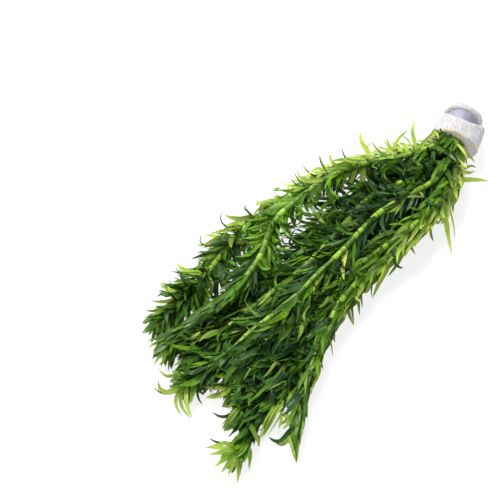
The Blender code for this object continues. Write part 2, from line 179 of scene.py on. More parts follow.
# One material's node tree
class Finish:
    def __init__(self, name):
        self.material = bpy.data.materials.new(name)
        self.material.use_nodes = True
        self.tree = self.material.node_tree
        self.tree.nodes.clear()
        self.output = self.tree.nodes.new("ShaderNodeOutputMaterial")

    def node(self, kind, inputs=None, out=0, **settings):
        made = self.tree.nodes.new(kind)
        for key, value in settings.items():
            setattr(made, key, value)
        for key, value in (inputs or {}).items():
            socket = made.inputs[key]
            if isinstance(value, Value):
                self.tree.links.new(value.socket, socket)
            elif isinstance(value, tuple) and len(value) < len(socket.default_value):
                socket.default_value = (*value, 1.0)
            else:
                socket.default_value = value
        return Value(self, made.outputs[out])

    def mix(self, share, first, second):
        return self.node(
            "ShaderNodeMix", {0: share, 6: first, 7: second}, out=2, data_type="RGBA", clamp_factor=True,
        )

    # Every output of a node that takes something apart
    def parts(self, kind, inputs):
        first = self.node(kind, inputs)
        return [Value(self, socket) for socket in first.socket.node.outputs]

    # What the shoots' vertices are painted with: light (on leaves with painted shade in it), youth, paleness
    # (on leaves with painted backlight in it; on stems the marks), and painted sheen
    def tones(self):
        tone = self.node("ShaderNodeAttribute", attribute_name="leafTone")
        paintedSheen = Value(self, tone.socket.node.outputs["Alpha"])
        return *self.parts("ShaderNodeSeparateColor", {"Color": tone}), paintedSheen

    def objectCoords(self):
        return self.node("ShaderNodeTexCoord", out="Object")

    # Object coordinates in mm, stretched by scale
    def place(self, scale=(1.0, 1.0, 1.0)):
        stretch = tuple(share / mm for share in scale)
        return self.node("ShaderNodeMapping", {"Vector": self.objectCoords(), "Scale": stretch})

    def noise(self, vector, scale, detail=3.0, roughness=0.55):
        return self.node("ShaderNodeTexNoise", {
            "Vector": vector, "Scale": scale, "Detail": detail, "Roughness": roughness,
        })

    def bump(self, height, strength, distance):
        return self.node("ShaderNodeBump", {
            "Height": height, "Strength": strength, "Distance": distance * mm,
        })

    def finish(self, shader):
        self.tree.links.new(shader.socket, self.output.inputs["Surface"])
        return self.material


# Camera, light and floor

view = {
    "azimuth": math.radians(21),  # round from looking along +Y
    "elevation": math.radians(50),
    "distance": 0.9,
    "pixel": 0.43 * mm,           # real size of one of the photo's pixels at that distance
    "pixels": 500,                # along each side of the photo
    "aim": (-63.0 * mm, -93.0 * mm, 8.0 * mm),
    "sensor": 36.0,
    "clipStart": 0.05,
    "lipPixel": (455.3, 137.0),   # where the photo shows the middle of the wrap's lip, at x = 0 and y = 0
    "lipHeight": 10.3,            # and this many mm up
}

studio = {
    "skyColor": (0.94, 0.97, 1.0),
    "skyStrength": 0.32,
    "softbox": {"place": (-0.45, 0.22, 0.9), "size": 0.8, "power": 18.0},
    "fill": {"place": (0.5, -0.7, 0.7), "size": 0.6, "power": 1.2},
    "lampAim": (-0.03, -0.09, 0.0),
    "floorSize": 3.0,
    "floorColor": (0.27, 0.27, 0.28),
    "floorGlow": (0.80, 0.80, 0.795),
}


# The way from the bunch to where the photo was taken from
def shownSide():
    azimuth, elevation = view["azimuth"], view["elevation"]
    level = math.cos(elevation)
    return Vector((math.sin(azimuth) * level, -math.cos(azimuth) * level, math.sin(elevation)))


# How far in x and y the line of sight through a pixel of the photo runs until it is down at a height, in mm
def sightReach(across, down, height):
    azimuth, elevation = view["azimuth"], view["elevation"]
    middle, scale = view["pixels"] / 2, view["pixel"] / view["distance"]
    right, up = (across - middle) * scale, (middle - down) * scale
    drop = (view["aim"][2] + view["distance"] * math.sin(elevation)) / mm - height
    depth = drop / (math.sin(elevation) - up * math.cos(elevation))
    side, ahead = depth * right, depth * (math.cos(elevation) + up * math.sin(elevation))
    return (
        side * math.cos(azimuth) - ahead * math.sin(azimuth),
        side * math.sin(azimuth) + ahead * math.cos(azimuth),
    )


# The place in mm that a pixel of the photo shows at this height
def photoPlace(across, down, height):
    lip = sightReach(*view["lipPixel"], view["lipHeight"])
    x, y = (round(far - near, 1) for far, near in zip(sightReach(across, down, height), lip))
    return x, y, height


# A camera or a lamp at its place, facing this way
def faced(name, data, place, way):
    made = bpy.data.objects.new(name, data)
    made.location = place
    made.rotation_mode = "QUATERNION"
    made.rotation_quaternion = way.to_track_quat("-Z", "Y")
    bpy.context.scene.collection.objects.link(made)
    return made


def makeCamera():
    back = shownSide()
    data = bpy.data.cameras.new("photoCamera")
    data.sensor_width = view["sensor"]
    data.lens = view["sensor"] * view["distance"] / (view["pixel"] * view["pixels"])
    data.clip_start = view["clipStart"]
    place = Vector(view["aim"]) + back * view["distance"]
    bpy.context.scene.camera = faced("photoCamera", data, place, -back)


def makeLamp(name):
    lamp = studio[name]
    data = bpy.data.lights.new(name, "AREA")
    data.shape = "DISK"
    data.size = lamp["size"]
    data.energy = lamp["power"]
    faced(name, data, lamp["place"], Vector(studio["lampAim"]) - Vector(lamp["place"]))


def floorFinish():
    paper = Finish("studioPaper")
    return paper.finish(paper.node("ShaderNodeBsdfPrincipled", {
        "Base Color": studio["floorColor"], "Roughness": 0.9, "Specular IOR Level": 0.1,
        "Emission Color": studio["floorGlow"], "Emission Strength": 1.0,
    }))


def makeStudio():
    scene = bpy.context.scene
    scene.view_settings.view_transform = "Standard"
    scene.world = bpy.data.worlds.new("studio")
    scene.world.use_nodes = True
    background = scene.world.node_tree.nodes["Background"]
    background.inputs["Color"].default_value = (*studio["skyColor"], 1.0)
    background.inputs["Strength"].default_value = studio["skyStrength"]
    makeLamp("softbox")
    makeLamp("fill")
    shape = bmesh.new()
    bmesh.ops.create_grid(shape, x_segments=1, y_segments=1, size=studio["floorSize"] / 2)
    floor = makePiece("studioFloor", shape, floorFinish())


def makePiece(name, shape, *materials):
    for face in shape.faces:
        face.smooth = True
    mesh = bpy.data.meshes.new(name)
    shape.to_mesh(mesh)
    shape.free()
    for material in materials:
        mesh.materials.append(material)
    piece = bpy.data.objects.new(name, mesh)
    bpy.context.scene.collection.objects.link(piece)
    return piece


# Finishes: their colours, and the scales of their noises for each mm

leafLook = {
    "dark": (0.004, 0.030, 0.012),
    "bright": (0.150, 0.360, 0.010),
    "vein": (0.145, 0.33, 0.010),
    "young": (0.25, 0.52, 0.025),
    # the yellow of bleached leaves, also used as painted backlight at the outline
    "pale": (0.82, 0.88, 0.22),
    "rib": (0.23, 0.40, 0.025),
    "margin": (0.15, 0.34, 0.016),
    "speck": (0.055, 0.075, 0.012),
    # painted sheen: the grey-blue reflection of the sky on wet leaves
    "paintedSheen": (0.07, 0.145, 0.105),
    "through": (0.66, 0.92, 0.13),
    "patches": 0.16,
    "specks": 1.3,
    "strokes": (14.0, 1.6, 1.0),  # the veins' noise over a whole leaf: across it, along it
}

stemLook = {
    "dark": (0.035, 0.12, 0.008),
    "bright": (0.34, 0.56, 0.045),
    "speck": (0.10, 0.23, 0.02),
    "young": (0.30, 0.48, 0.05),
    "mark": (0.020, 0.055, 0.006),
    "through": (0.55, 0.75, 0.12),
    "patches": 0.12,
    "specks": 1.6,
}

foamLook = {
    "light": (0.46, 0.45, 0.45),
    "grain": (0.21, 0.20, 0.20),
    "blot": (0.46, 0.36, 0.37),
    "stain": (0.50, 0.42, 0.17),
    "stained": (-3.6 * mm, -6.2 * mm),  # y where the stain begins, and where it is full
    # painted light: the foam glows a little with its own colour, standing in for light scattered through it,
    # so its shaded side stays light
    "paintedGlow": 0.55,
    "grains": 1.5,
    "blots": 0.28,
}

leadLook = {
    "dull": (0.29, 0.285, 0.37),
    "rubbed": (0.36, 0.355, 0.45),
    "speck": (0.26, 0.26, 0.34),
    "smears": 0.35,
    "smearStretch": (1.0, 0.25, 1.0),
    "specks": 2.4,
}


def leafFinish():
    look = leafLook
    leafy = Finish("waterweedLeaf")
    shade, youth, pale, paintedSheen = leafy.tones()
    uv = leafy.node("ShaderNodeUVMap", uv_map="leafMap")
    across, along, _ = leafy.parts("ShaderNodeSeparateXYZ", {"Vector": uv})
    middle = abs(across - 0.5) * 2.0  # 0 on the midrib, 1 on the margins
    rib = 1.0 - middle.ramp(0.04, 0.16)
    patches = leafy.noise(leafy.place(), look["patches"])
    specks = leafy.noise(leafy.place(), look["specks"], 4.0)
    strokes = leafy.node("ShaderNodeMapping", {"Vector": uv, "Scale": look["strokes"]})
    veins = leafy.noise(strokes, 1.0, 2.0)
    # lit: the leaf's own tone together with painted shade where other leaves lie above or a shoot lies low
    lit = shade * 0.85 + patches.ramp(0.35, 0.7) * (0.06 + 0.4 * shade)
    green = leafy.mix(lit, look["dark"], look["bright"])
    shares = {
        "vein": veins.ramp(0.4, 0.75) * (0.1 + 0.4 * shade),
        "young": youth.ramp(0.4, 1.0) * (0.05 + 0.4 * along),
        # paleness: bleached leaves, and painted backlight at the outline
        "pale": pale.ramp(0.15, 0.8) * 0.9,
        "rib": rib * (0.12 + 0.3 * shade),
        "margin": middle.ramp(0.6, 0.95) * (0.1 + 0.3 * shade),
        "speck": specks.ramp(0.62, 0.85) * 0.3,
        # painted sheen: grey-blue reflection painted into some leaves' colour
        "paintedSheen": paintedSheen * veins.ramp(0.3, 0.6) * (1.0 - middle.ramp(0.75, 0.95)) * 0.5,
    }
    for color, share in shares.items():
        green = leafy.mix(share, green, look[color])
    shader = leafy.node("ShaderNodeBsdfPrincipled", {
        "Base Color": green, "Roughness": 0.26 + 0.25 * specks, "IOR": 1.45, "Specular IOR Level": 0.2,
        "Normal": leafy.bump(veins * 0.7 + specks * 0.4 - rib * 0.5, 0.6, 0.2),
        "Coat Weight": patches.ramp(0.48, 0.62) * (0.2 + 0.5 * shade), "Coat Roughness": 0.2,
    })
    through = leafy.node("ShaderNodeBsdfTranslucent", {"Color": look["through"]})
    thin = 0.05 + 0.10 * shade + 0.4 * pale
    return leafy.finish(leafy.node("ShaderNodeMixShader", {0: thin, 1: shader, 2: through}))


def stemFinish():
    look = stemLook
    stalk = Finish("waterweedStem")
    shade, youth, mark, _ = stalk.tones()
    patches = stalk.noise(stalk.place(), look["patches"], 2.0)
    specks = stalk.noise(stalk.place(), look["specks"], 4.0)
    lit = shade.ramp(0.1, 0.9) * 0.9 + patches.ramp(0.3, 0.7) * 0.2
    green = stalk.mix(lit, look["dark"], look["bright"])
    green = stalk.mix(specks.ramp(0.45, 0.75) * 0.5, green, look["speck"])
    green = stalk.mix(youth.ramp(0.6, 1.0) * 0.4, green, look["young"])
    green = stalk.mix(mark * 0.95, green, look["mark"])
    shader = stalk.node("ShaderNodeBsdfPrincipled", {
        "Base Color": green, "Roughness": 0.35, "IOR": 1.42, "Specular IOR Level": 0.4,
        "Normal": stalk.bump(specks, 0.35, 0.15), "Coat Weight": 0.15, "Coat Roughness": 0.15,
    })
    through = stalk.node("ShaderNodeBsdfTranslucent", {"Color": look["through"]})
    return stalk.finish(stalk.node("ShaderNodeMixShader", {0: 0.12, 1: shader, 2: through}))


def foamFinish():
    look = foamLook
    foam = Finish("whiteFoam")
    grains = foam.noise(foam.place(), look["grains"], 3.0, 0.75)
    cells = foam.node("ShaderNodeTexVoronoi", {"Vector": foam.place(), "Scale": look["grains"]})
    blots = foam.noise(foam.place(), look["blots"], 2.0)
    _, forward, _ = foam.parts("ShaderNodeSeparateXYZ", {"Vector": foam.objectCoords()})
    stained = forward.ramp(*look["stained"]) * blots.ramp(0.48, 0.6)
    color = foam.mix(grains.ramp(0.46, 0.68), look["light"], look["grain"])
    color = foam.mix(blots.ramp(0.52, 0.74) * grains.ramp(0.4, 0.62) * 0.5, color, look["blot"])
    color = foam.mix(stained * 0.5, color, look["stain"])
    return foam.finish(foam.node("ShaderNodeBsdfPrincipled", {
        "Base Color": color, "Roughness": 0.95, "Specular IOR Level": 0.2,
        "Normal": foam.bump(grains * 0.8 + cells * 0.5, 0.8, 0.35),
        # painted light: the foam glows
        "Emission Color": color, "Emission Strength": look["paintedGlow"],
    }))


def leadFinish():
    look = leadLook
    lead = Finish("softLead")
    smears = lead.noise(lead.place(look["smearStretch"]), look["smears"])
    specks = lead.noise(lead.place(), look["specks"], 4.0)
    color = lead.mix(smears.ramp(0.35, 0.7), look["dull"], look["rubbed"])
    color = lead.mix(specks.ramp(0.58, 0.8) * 0.4, color, look["speck"])
    return lead.finish(lead.node("ShaderNodeBsdfPrincipled", {
        "Base Color": color, "Metallic": 0.25, "Roughness": 0.5 + 0.15 * specks,
        "Normal": lead.bump(smears * 0.6 + specks * 0.15, 0.5, 0.4),
    }))


# Routes of the stems

# A smooth curve through a shoot's route points, read by the distance from the cut end
class Route:
    steps = 12  # between two route points

    def __init__(self, points):
        points = [Vector(point) * mm for point in points]
        last = len(points) - 1
        self.points = []
        for i in range(last):
            start, end = points[i], points[i + 1]
            reach = (end - start).length / 3
            leaving = (end - points[max(i - 1, 0)]).normalized() * reach
            arriving = (points[min(i + 2, last)] - start).normalized() * reach
            self.points += interpolate_bezier(start, start + leaving, end - arriving, end, self.steps)[:-1]
        self.points.append(points[last])
        self.distances = [0.0]
        for start, end in zip(self.points, self.points[1:]):
            self.distances.append(self.distances[-1] + (end - start).length)
        self.length = self.distances[-1]
        self.uprights = []
        upright = Vector((0, 0, 1))
        for i in range(len(self.points)):
            tangent = self.tangent(i)
            upright = (upright - tangent * upright.dot(tangent)).normalized()
            self.uprights.append(upright)

    def tangent(self, i):
        return (self.points[min(i + 1, len(self.points) - 1)] - self.points[max(i - 1, 0)]).normalized()

    # Place and axes there: local Z runs along the stem towards the tip, local Y is up
    def frame(self, distance):
        i = 0
        while i < len(self.distances) - 2 and self.distances[i + 1] < distance:
            i += 1
        share = (distance - self.distances[i]) / (self.distances[i + 1] - self.distances[i])
        place = self.points[i].lerp(self.points[i + 1], share)
        along = self.tangent(i).lerp(self.tangent(i + 1), share).normalized()
        upright = self.uprights[i].lerp(self.uprights[i + 1], share)
        across = upright.cross(along).normalized()
        axes = Matrix((across, along.cross(across), along)).transposed()
        return Matrix.Translation(place) @ axes.to_4x4()


# Foam wrap and lead strip

collar = {
    "axisHeight": 10.3 * mm,
    "hole": 5.9 * mm,
    "waist": 6.6 * mm,
    "lip": 10.9 * mm,
    "mouth": 7.0 * mm,
    "mouthDepth": 3.0 * mm,
    "lipFront": -6.6 * mm,
    "lipBack": 3.2 * mm,
    "rearLipFront": 10.3 * mm,
    "rearLipBack": 13.4 * mm,
    "rearLip": 9.4 * mm,
    "rounds": (0.8 * mm, 1.7 * mm, 1.2 * mm),  # of the lip's front, of its back and of the rear lip
    "undercut": 0.1 * mm,
    "layer": 1.1 * mm,
    "layerStep": 0.6 * mm,
    "stripEnd": math.radians(290),
    "segments": 96,
    "lump": 0.28 * mm,
    "lumpSizes": (3.2 * mm, 1.3 * mm),
    "lumpy": 2.0 * mm,         # how far out from the waist the lumps are full
    "groove": 0.35 * mm,
    "grooveHalf": 0.16,        # share of a layer
    "grooveFrom": 0.3 * mm,    # how far out from the hole the rear groove begins
    "grooveDepths": (0.3 * mm, 0.4 * mm),  # how far in the front and the rear end faces have it
    "swellFrom": 7.8 * mm,
    "swells": [(140, 28, 3.2 * mm), (0, 36, 5.6 * mm)],  # degrees round, half width, reach over the lead
    "bulges": [(12, 30, 1.8 * mm), (-50, 26, -2.0 * mm)],  # where the front lip is fuller, and less full
    "bulgeBack": 6.0 * mm,     # they end this far behind the lip
}


# Where a place is round the wrap's axis: x, the height above it, and the distance from it
def roundAxis(place):
    x, z = place.x, place.z - collar["axisHeight"]
    return x, z, math.hypot(x, z)


# Moves a vertex straight out from the wrap's axis, or in
def setRadius(vert, radius):
    x, z, was = roundAxis(vert.co)
    vert.co.x = x * radius / was
    vert.co.z = collar["axisHeight"] + z * radius / was


# A closed profile of (y, radius) points spun round the wrap's axis, growing by step over one turn
def spunBand(profile, stepAngle, step):
    shape = bmesh.new()
    verts = [shape.verts.new((radius, y, collar["axisHeight"])) for y, radius in profile]
    edges = [shape.edges.new((start, end)) for start, end in zip(verts, verts[1:] + verts[:1])]
    bmesh.ops.spin(
        shape, geom=verts + edges, cent=(0, 0, collar["axisHeight"]), axis=(0, 1, 0),
        angle=2 * math.pi, steps=collar["segments"], use_merge=True,
    )
    bmesh.ops.remove_doubles(shape, verts=shape.verts[:], dist=0.005 * mm)
    low = min(radius for _, radius in profile)
    high = max(radius for _, radius in profile)
    for vert in shape.verts:
        x, z, radius = roundAxis(vert.co)
        turn = (stepAngle - math.atan2(z, x)) % (2 * math.pi) / (2 * math.pi)
        setRadius(vert, radius - step * turn * (radius - low) / (high - low))
    bmesh.ops.recalc_face_normals(shape, faces=shape.faces[:])
    return shape


# Points of a round stretch of a profile, from one degree to another
def arcPoints(center, radius, start, end, count):
    found = []
    for i in range(count + 1):
        angle = math.radians(start + (end - start) * i / count)
        found.append((center[0] + radius * math.cos(angle), center[1] + radius * math.sin(angle)))
    return found


# Points of a straight stretch, without its ends
def straight(start, end, count):
    return [
        (start[0] + (end[0] - start[0]) * i / count, start[1] + (end[1] - start[1]) * i / count)
        for i in range(1, count)
    ]


def foamProfile():
    front, back, lip = collar["lipFront"], collar["lipBack"], collar["lip"]
    rearFront, rearBack, rearLip = collar["rearLipFront"], collar["rearLipBack"], collar["rearLip"]
    hole, mouth, waist, undercut = collar["hole"], collar["mouth"], collar["waist"], collar["undercut"]
    frontRound, backRound, rearRound = collar["rounds"]
    profile = [(front + collar["mouthDepth"], hole)]
    profile += straight(profile[-1], (front, mouth), 5)
    profile += straight((front, mouth), (front, lip - frontRound), 4)
    profile += arcPoints((front + frontRound, lip - frontRound), frontRound, 180, 90, 5)
    profile += straight((front + frontRound, lip), (back - backRound, lip), 9)
    profile += arcPoints((back - backRound, lip - backRound), backRound, 90, 0, 7)
    profile += straight((back, lip - backRound), (back + undercut, waist), 4)
    profile += [(back + undercut, waist), (rearFront - undercut, waist)]
    profile += straight((rearFront, waist), (rearFront, rearLip - rearRound), 3)
    profile += arcPoints((rearFront + rearRound, rearLip - rearRound), rearRound, 180, 90, 5)
    profile += arcPoints((rearBack - rearRound, rearLip - rearRound), rearRound, 90, 0, 5)
    profile += straight((rearBack, rearLip - rearRound), (rearBack, hole), 9)
    profile += [(rearBack, hole)]
    return profile + straight(profile[-1], profile[0], 6)


def makeFoamWrap(finish):
    front, back, rear = collar["lipFront"], collar["lipBack"], collar["rearLipBack"]
    lumpSize, grainSize = collar["lumpSizes"]
    frontDepth, rearDepth = collar["grooveDepths"]
    shape = spunBand(foamProfile(), collar["stripEnd"], collar["layerStep"])
    for vert in shape.verts:
        x, z, radius = roundAxis(vert.co)
        angle = math.atan2(z, x)
        outside = clamp((radius - collar["waist"]) / collar["lumpy"])
        lump = noise.noise(vert.co / lumpSize) + 0.5 * noise.noise(vert.co / grainSize)
        setRadius(vert, radius + lump * collar["lump"] * outside)
        vert.co.y += lump * collar["lump"] * 0.6 * outside
        # the wound layers show as a spiral groove on the end faces
        layer = ((radius - collar["hole"]) / collar["layer"] + angle / (2 * math.pi)) % 1.0
        groove = bell(layer - 0.5, collar["grooveHalf"]) * collar["groove"]
        if vert.co.y > rear - rearDepth and radius > collar["hole"] + collar["grooveFrom"]:
            vert.co.y -= groove
        if vert.co.y < front + frontDepth and radius > collar["mouth"]:
            vert.co.y += groove
        # the foam swells over the lead at both sides
        turn = math.degrees(angle)
        radius = roundAxis(vert.co)[2]
        if 0 < vert.co.y < back + mm:
            share = vert.co.y / back * clamp((radius - collar["swellFrom"]) / mm)
            for place, half, reach in collar["swells"]:
                vert.co.y += bell(turn - place, half) * reach * share
        if vert.co.y < back + collar["bulgeBack"]:
            for place, half, reach in collar["bulges"]:
                radius += bell(turn - place, half) * reach * outside
            setRadius(vert, radius)
        vert.co.z = max(vert.co.z, 0.0)
    piece = makePiece("foamWrapSkin", shape, finish)
    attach(piece, "root")
    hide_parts("foam_wrap")
    print("foam wrap", len(piece.data.polygons), "faces")


leadStrip = {
    "outside": 8.0 * mm,
    "thickness": 1.0 * mm,
    "lap": 0.5 * mm,
    "gap": 0.3 * mm,
    "end": math.radians(118),
    "edge": 0.25 * mm,
    "dent": 0.12 * mm,
    "dentSize": 4.0 * mm,
    "dented": 0.5 * mm,        # how far out from the inside the dents are full
}


def makeLeadStrip(finish):
    front = collar["lipBack"] + leadStrip["gap"]
    back = collar["rearLipFront"] - leadStrip["gap"]
    outside, edge = leadStrip["outside"], leadStrip["edge"]
    inside = outside - leadStrip["thickness"]
    profile = [(front, inside)]
    profile += arcPoints((front + edge, outside - edge), edge, 180, 90, 3)
    profile += straight((front + edge, outside), (back - edge, outside), 6)
    profile += arcPoints((back - edge, outside - edge), edge, 90, 0, 3)
    profile += [(back, inside)]
    shape = spunBand(profile, leadStrip["end"], leadStrip["lap"])
    for vert in shape.verts:
        radius = roundAxis(vert.co)[2]
        dent = noise.noise(vert.co / leadStrip["dentSize"]) * leadStrip["dent"]
        setRadius(vert, radius + dent * clamp((radius - inside) / leadStrip["dented"]))
    piece = makePiece("leadStripSkin", shape, finish)
    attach(piece, "root")
    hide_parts("lead_strip")
    print("lead strip", len(piece.data.polygons), "faces")


# Shoots

stem = {
    "sides": 8,
    "heldRadius": 1.4 * mm,
    "radii": [(0.0, 1.0), (0.16, 1.0), (0.35, 1.5), (0.8, 1.5), (1.0, 0.75)],  # share of the length, mm
    # shoot_01 is stouter, and its leaves lie round it as a sleeve further down
    "sleeved": [
        (0.0, 1.0), (0.16, 1.15), (0.35, 1.5), (0.70, 1.55), (0.80, 1.7), (0.86, 2.1), (0.92, 2.1),
        (0.96, 1.3), (1.0, 0.8),
    ],
    "held": 20.0 * mm,         # length inside the wrap
    "freed": 8.0 * mm,         # length until it has its free radius
    "nodeBulge": 0.12 * mm,
    "nodeLine": 0.2 * mm,
    # rings at a node: how many lines past it, share of the bulge, darkness of the mark
    "nodeRings": [(-2, 0.4, 0.0), (-1, 1.0, 1.0), (0, 1.0, 1.0), (1, 0.5, 0.0)],
    "nodesApart": 2.6 * mm,    # whorls that stand closer than this leave one mark on the stem
    "ringsApart": 3.4 * mm,
    "lightPower": 1.5,         # above 1, more of the stretches between nodes are dark than light
    "cutEdge": 0.4 * mm,
    "tipRound": 1.2 * mm,
    "tipEnd": 2.0 * mm,
    "guardStep": 1.2 * mm,     # how close together the places are that leaves keep out of
}

leaf = {
    "seed": 5,
    "firstWhorl": 16.0 * mm,
    "spacing": [(0.0, 4.6), (0.35, 3.8), (0.5, 2.8), (0.7, 1.9), (1.0, 1.3)],  # share of the length, mm
    "brushLength": 40.0 * mm,  # the stretch below the tip where leaves get shorter
    "youthLength": 24.0 * mm,
    "perWhorl": (5, 6),
    "under": ("shoot_07", "shoot_09", "shoot_10"),  # they lie lowest, and have more leaves left
    "closer": 0.65,
    "length": 15.5 * mm,
    "tipLength": 9.5 * mm,
    "width": 2.25 * mm,
    "thickness": 0.16 * mm,
    "pressed": 2,              # degrees from the stem of a leaf that lies on it
    "loosened": 24,            # degrees more that make it fully loose
    "fold": 0.28,
    "wrapped": -0.35,          # the fold of leaves that lie pressed round the stem
    "ripple": 0.22 * mm,
    "baseWidth": 0.55,         # share of the full width at the base
    "widening": 1.8,
    "rootDepth": 0.7,          # share of the stem's radius that leaves start at
    "lift": (0.15 * mm, 0.9 * mm),  # how far off the stem loose leaves stay, and pressed ones more
    "level": 0.4,              # how far a leaf turns flat from one station to the next, at most
    "droop": 0.35,
    "partedFrom": math.radians(64),
    "partedTo": (math.radians(60), math.radians(110)),
    "tries": 5,                # how often a leaf that reaches past the outline is bent in
    "bentIn": (0.65, 0.5, 0.9),  # what that leaves of its spread, its recurve and its length
    "apart": 2.2 * mm,         # grown leaves that come this near to a posed leaf make way for it
    "rootGap": 2.0 * mm,       # posed leaves that start farther off are led on to the stem
    "floorGap": 0.15 * mm,     # how far the midribs stay off the floor
    "edgeGap": 0.02 * mm,      # how far the margins do
    "foamGap": 0.3 * mm,       # how far the midribs stay off the wrap's foam
    "stations": 8,
    "nearby": 5.5 * mm,        # how far round a leaf's point others count as its neighbours
    "below": 3.5 * mm,
    "lonely": 4,               # neighbours that a leaf has of its own points
    "crowded": 75,             # neighbours more that make a place fully covered
    "paintedShade": 0.8,             # how much darker a leaf is painted there: painted shade under the leaves above it
    "paintedShadeOnPale": 0.3,      # how much less pale it is painted there: painted shade over its paleness
    "backlightLoss": (0.3, 0.6),  # how much of the painted backlight at the outline leaves below, and above, take away
    "paleEdge": 9.0 * mm,      # how far in from the outline the leaves are painted paler, as painted backlight
    "backlitShare": [(0.0, 1.25), (0.55, 1.25), (0.75, 0.4), (1.0, 0.35)],  # share of the length, how much painted backlight
    "bareStretch": 8.0 * mm,
}

# What chance does to the whorls and leaves: the ends of a range or, as one number, how far it strays
chance = {
    "firstWhorl": (0, 4),      # mm
    "spacing": (0.82, 1.18),
    "whorlTurn": (-0.2, 0.2),
    "leafTurn": 0.15,
    "bleached": 0.03,          # share of the leaves
    "pale": (0.3, 0.9),
    "shade": (-0.5, 0.5),
    "length": (0.75, 1.15),
    "width": (0.65, 1.15),
    "taper": (2.0, 3.8),
    "sheenShare": 0.2,             # share of the leaves with a painted grey-blue sheen, the reflection on their wet surface
    "paintedSheen": (0.3, 1.0),
    "fold": (0.3, 2.0),
    "spread": (0.55, 1.35),
    "recurve": (-0.1, 1.4),
    "recurveMore": 20,         # degrees
    "curl": (60, 190),         # degrees
    "sweep": 14,               # degrees
    "twist": 30,               # degrees
    "droop": (0.2, 1.6),
    "sway": (0.1, 0.35),
    "bow": 0.7,
    "settle": (0.2, 1.0),
}
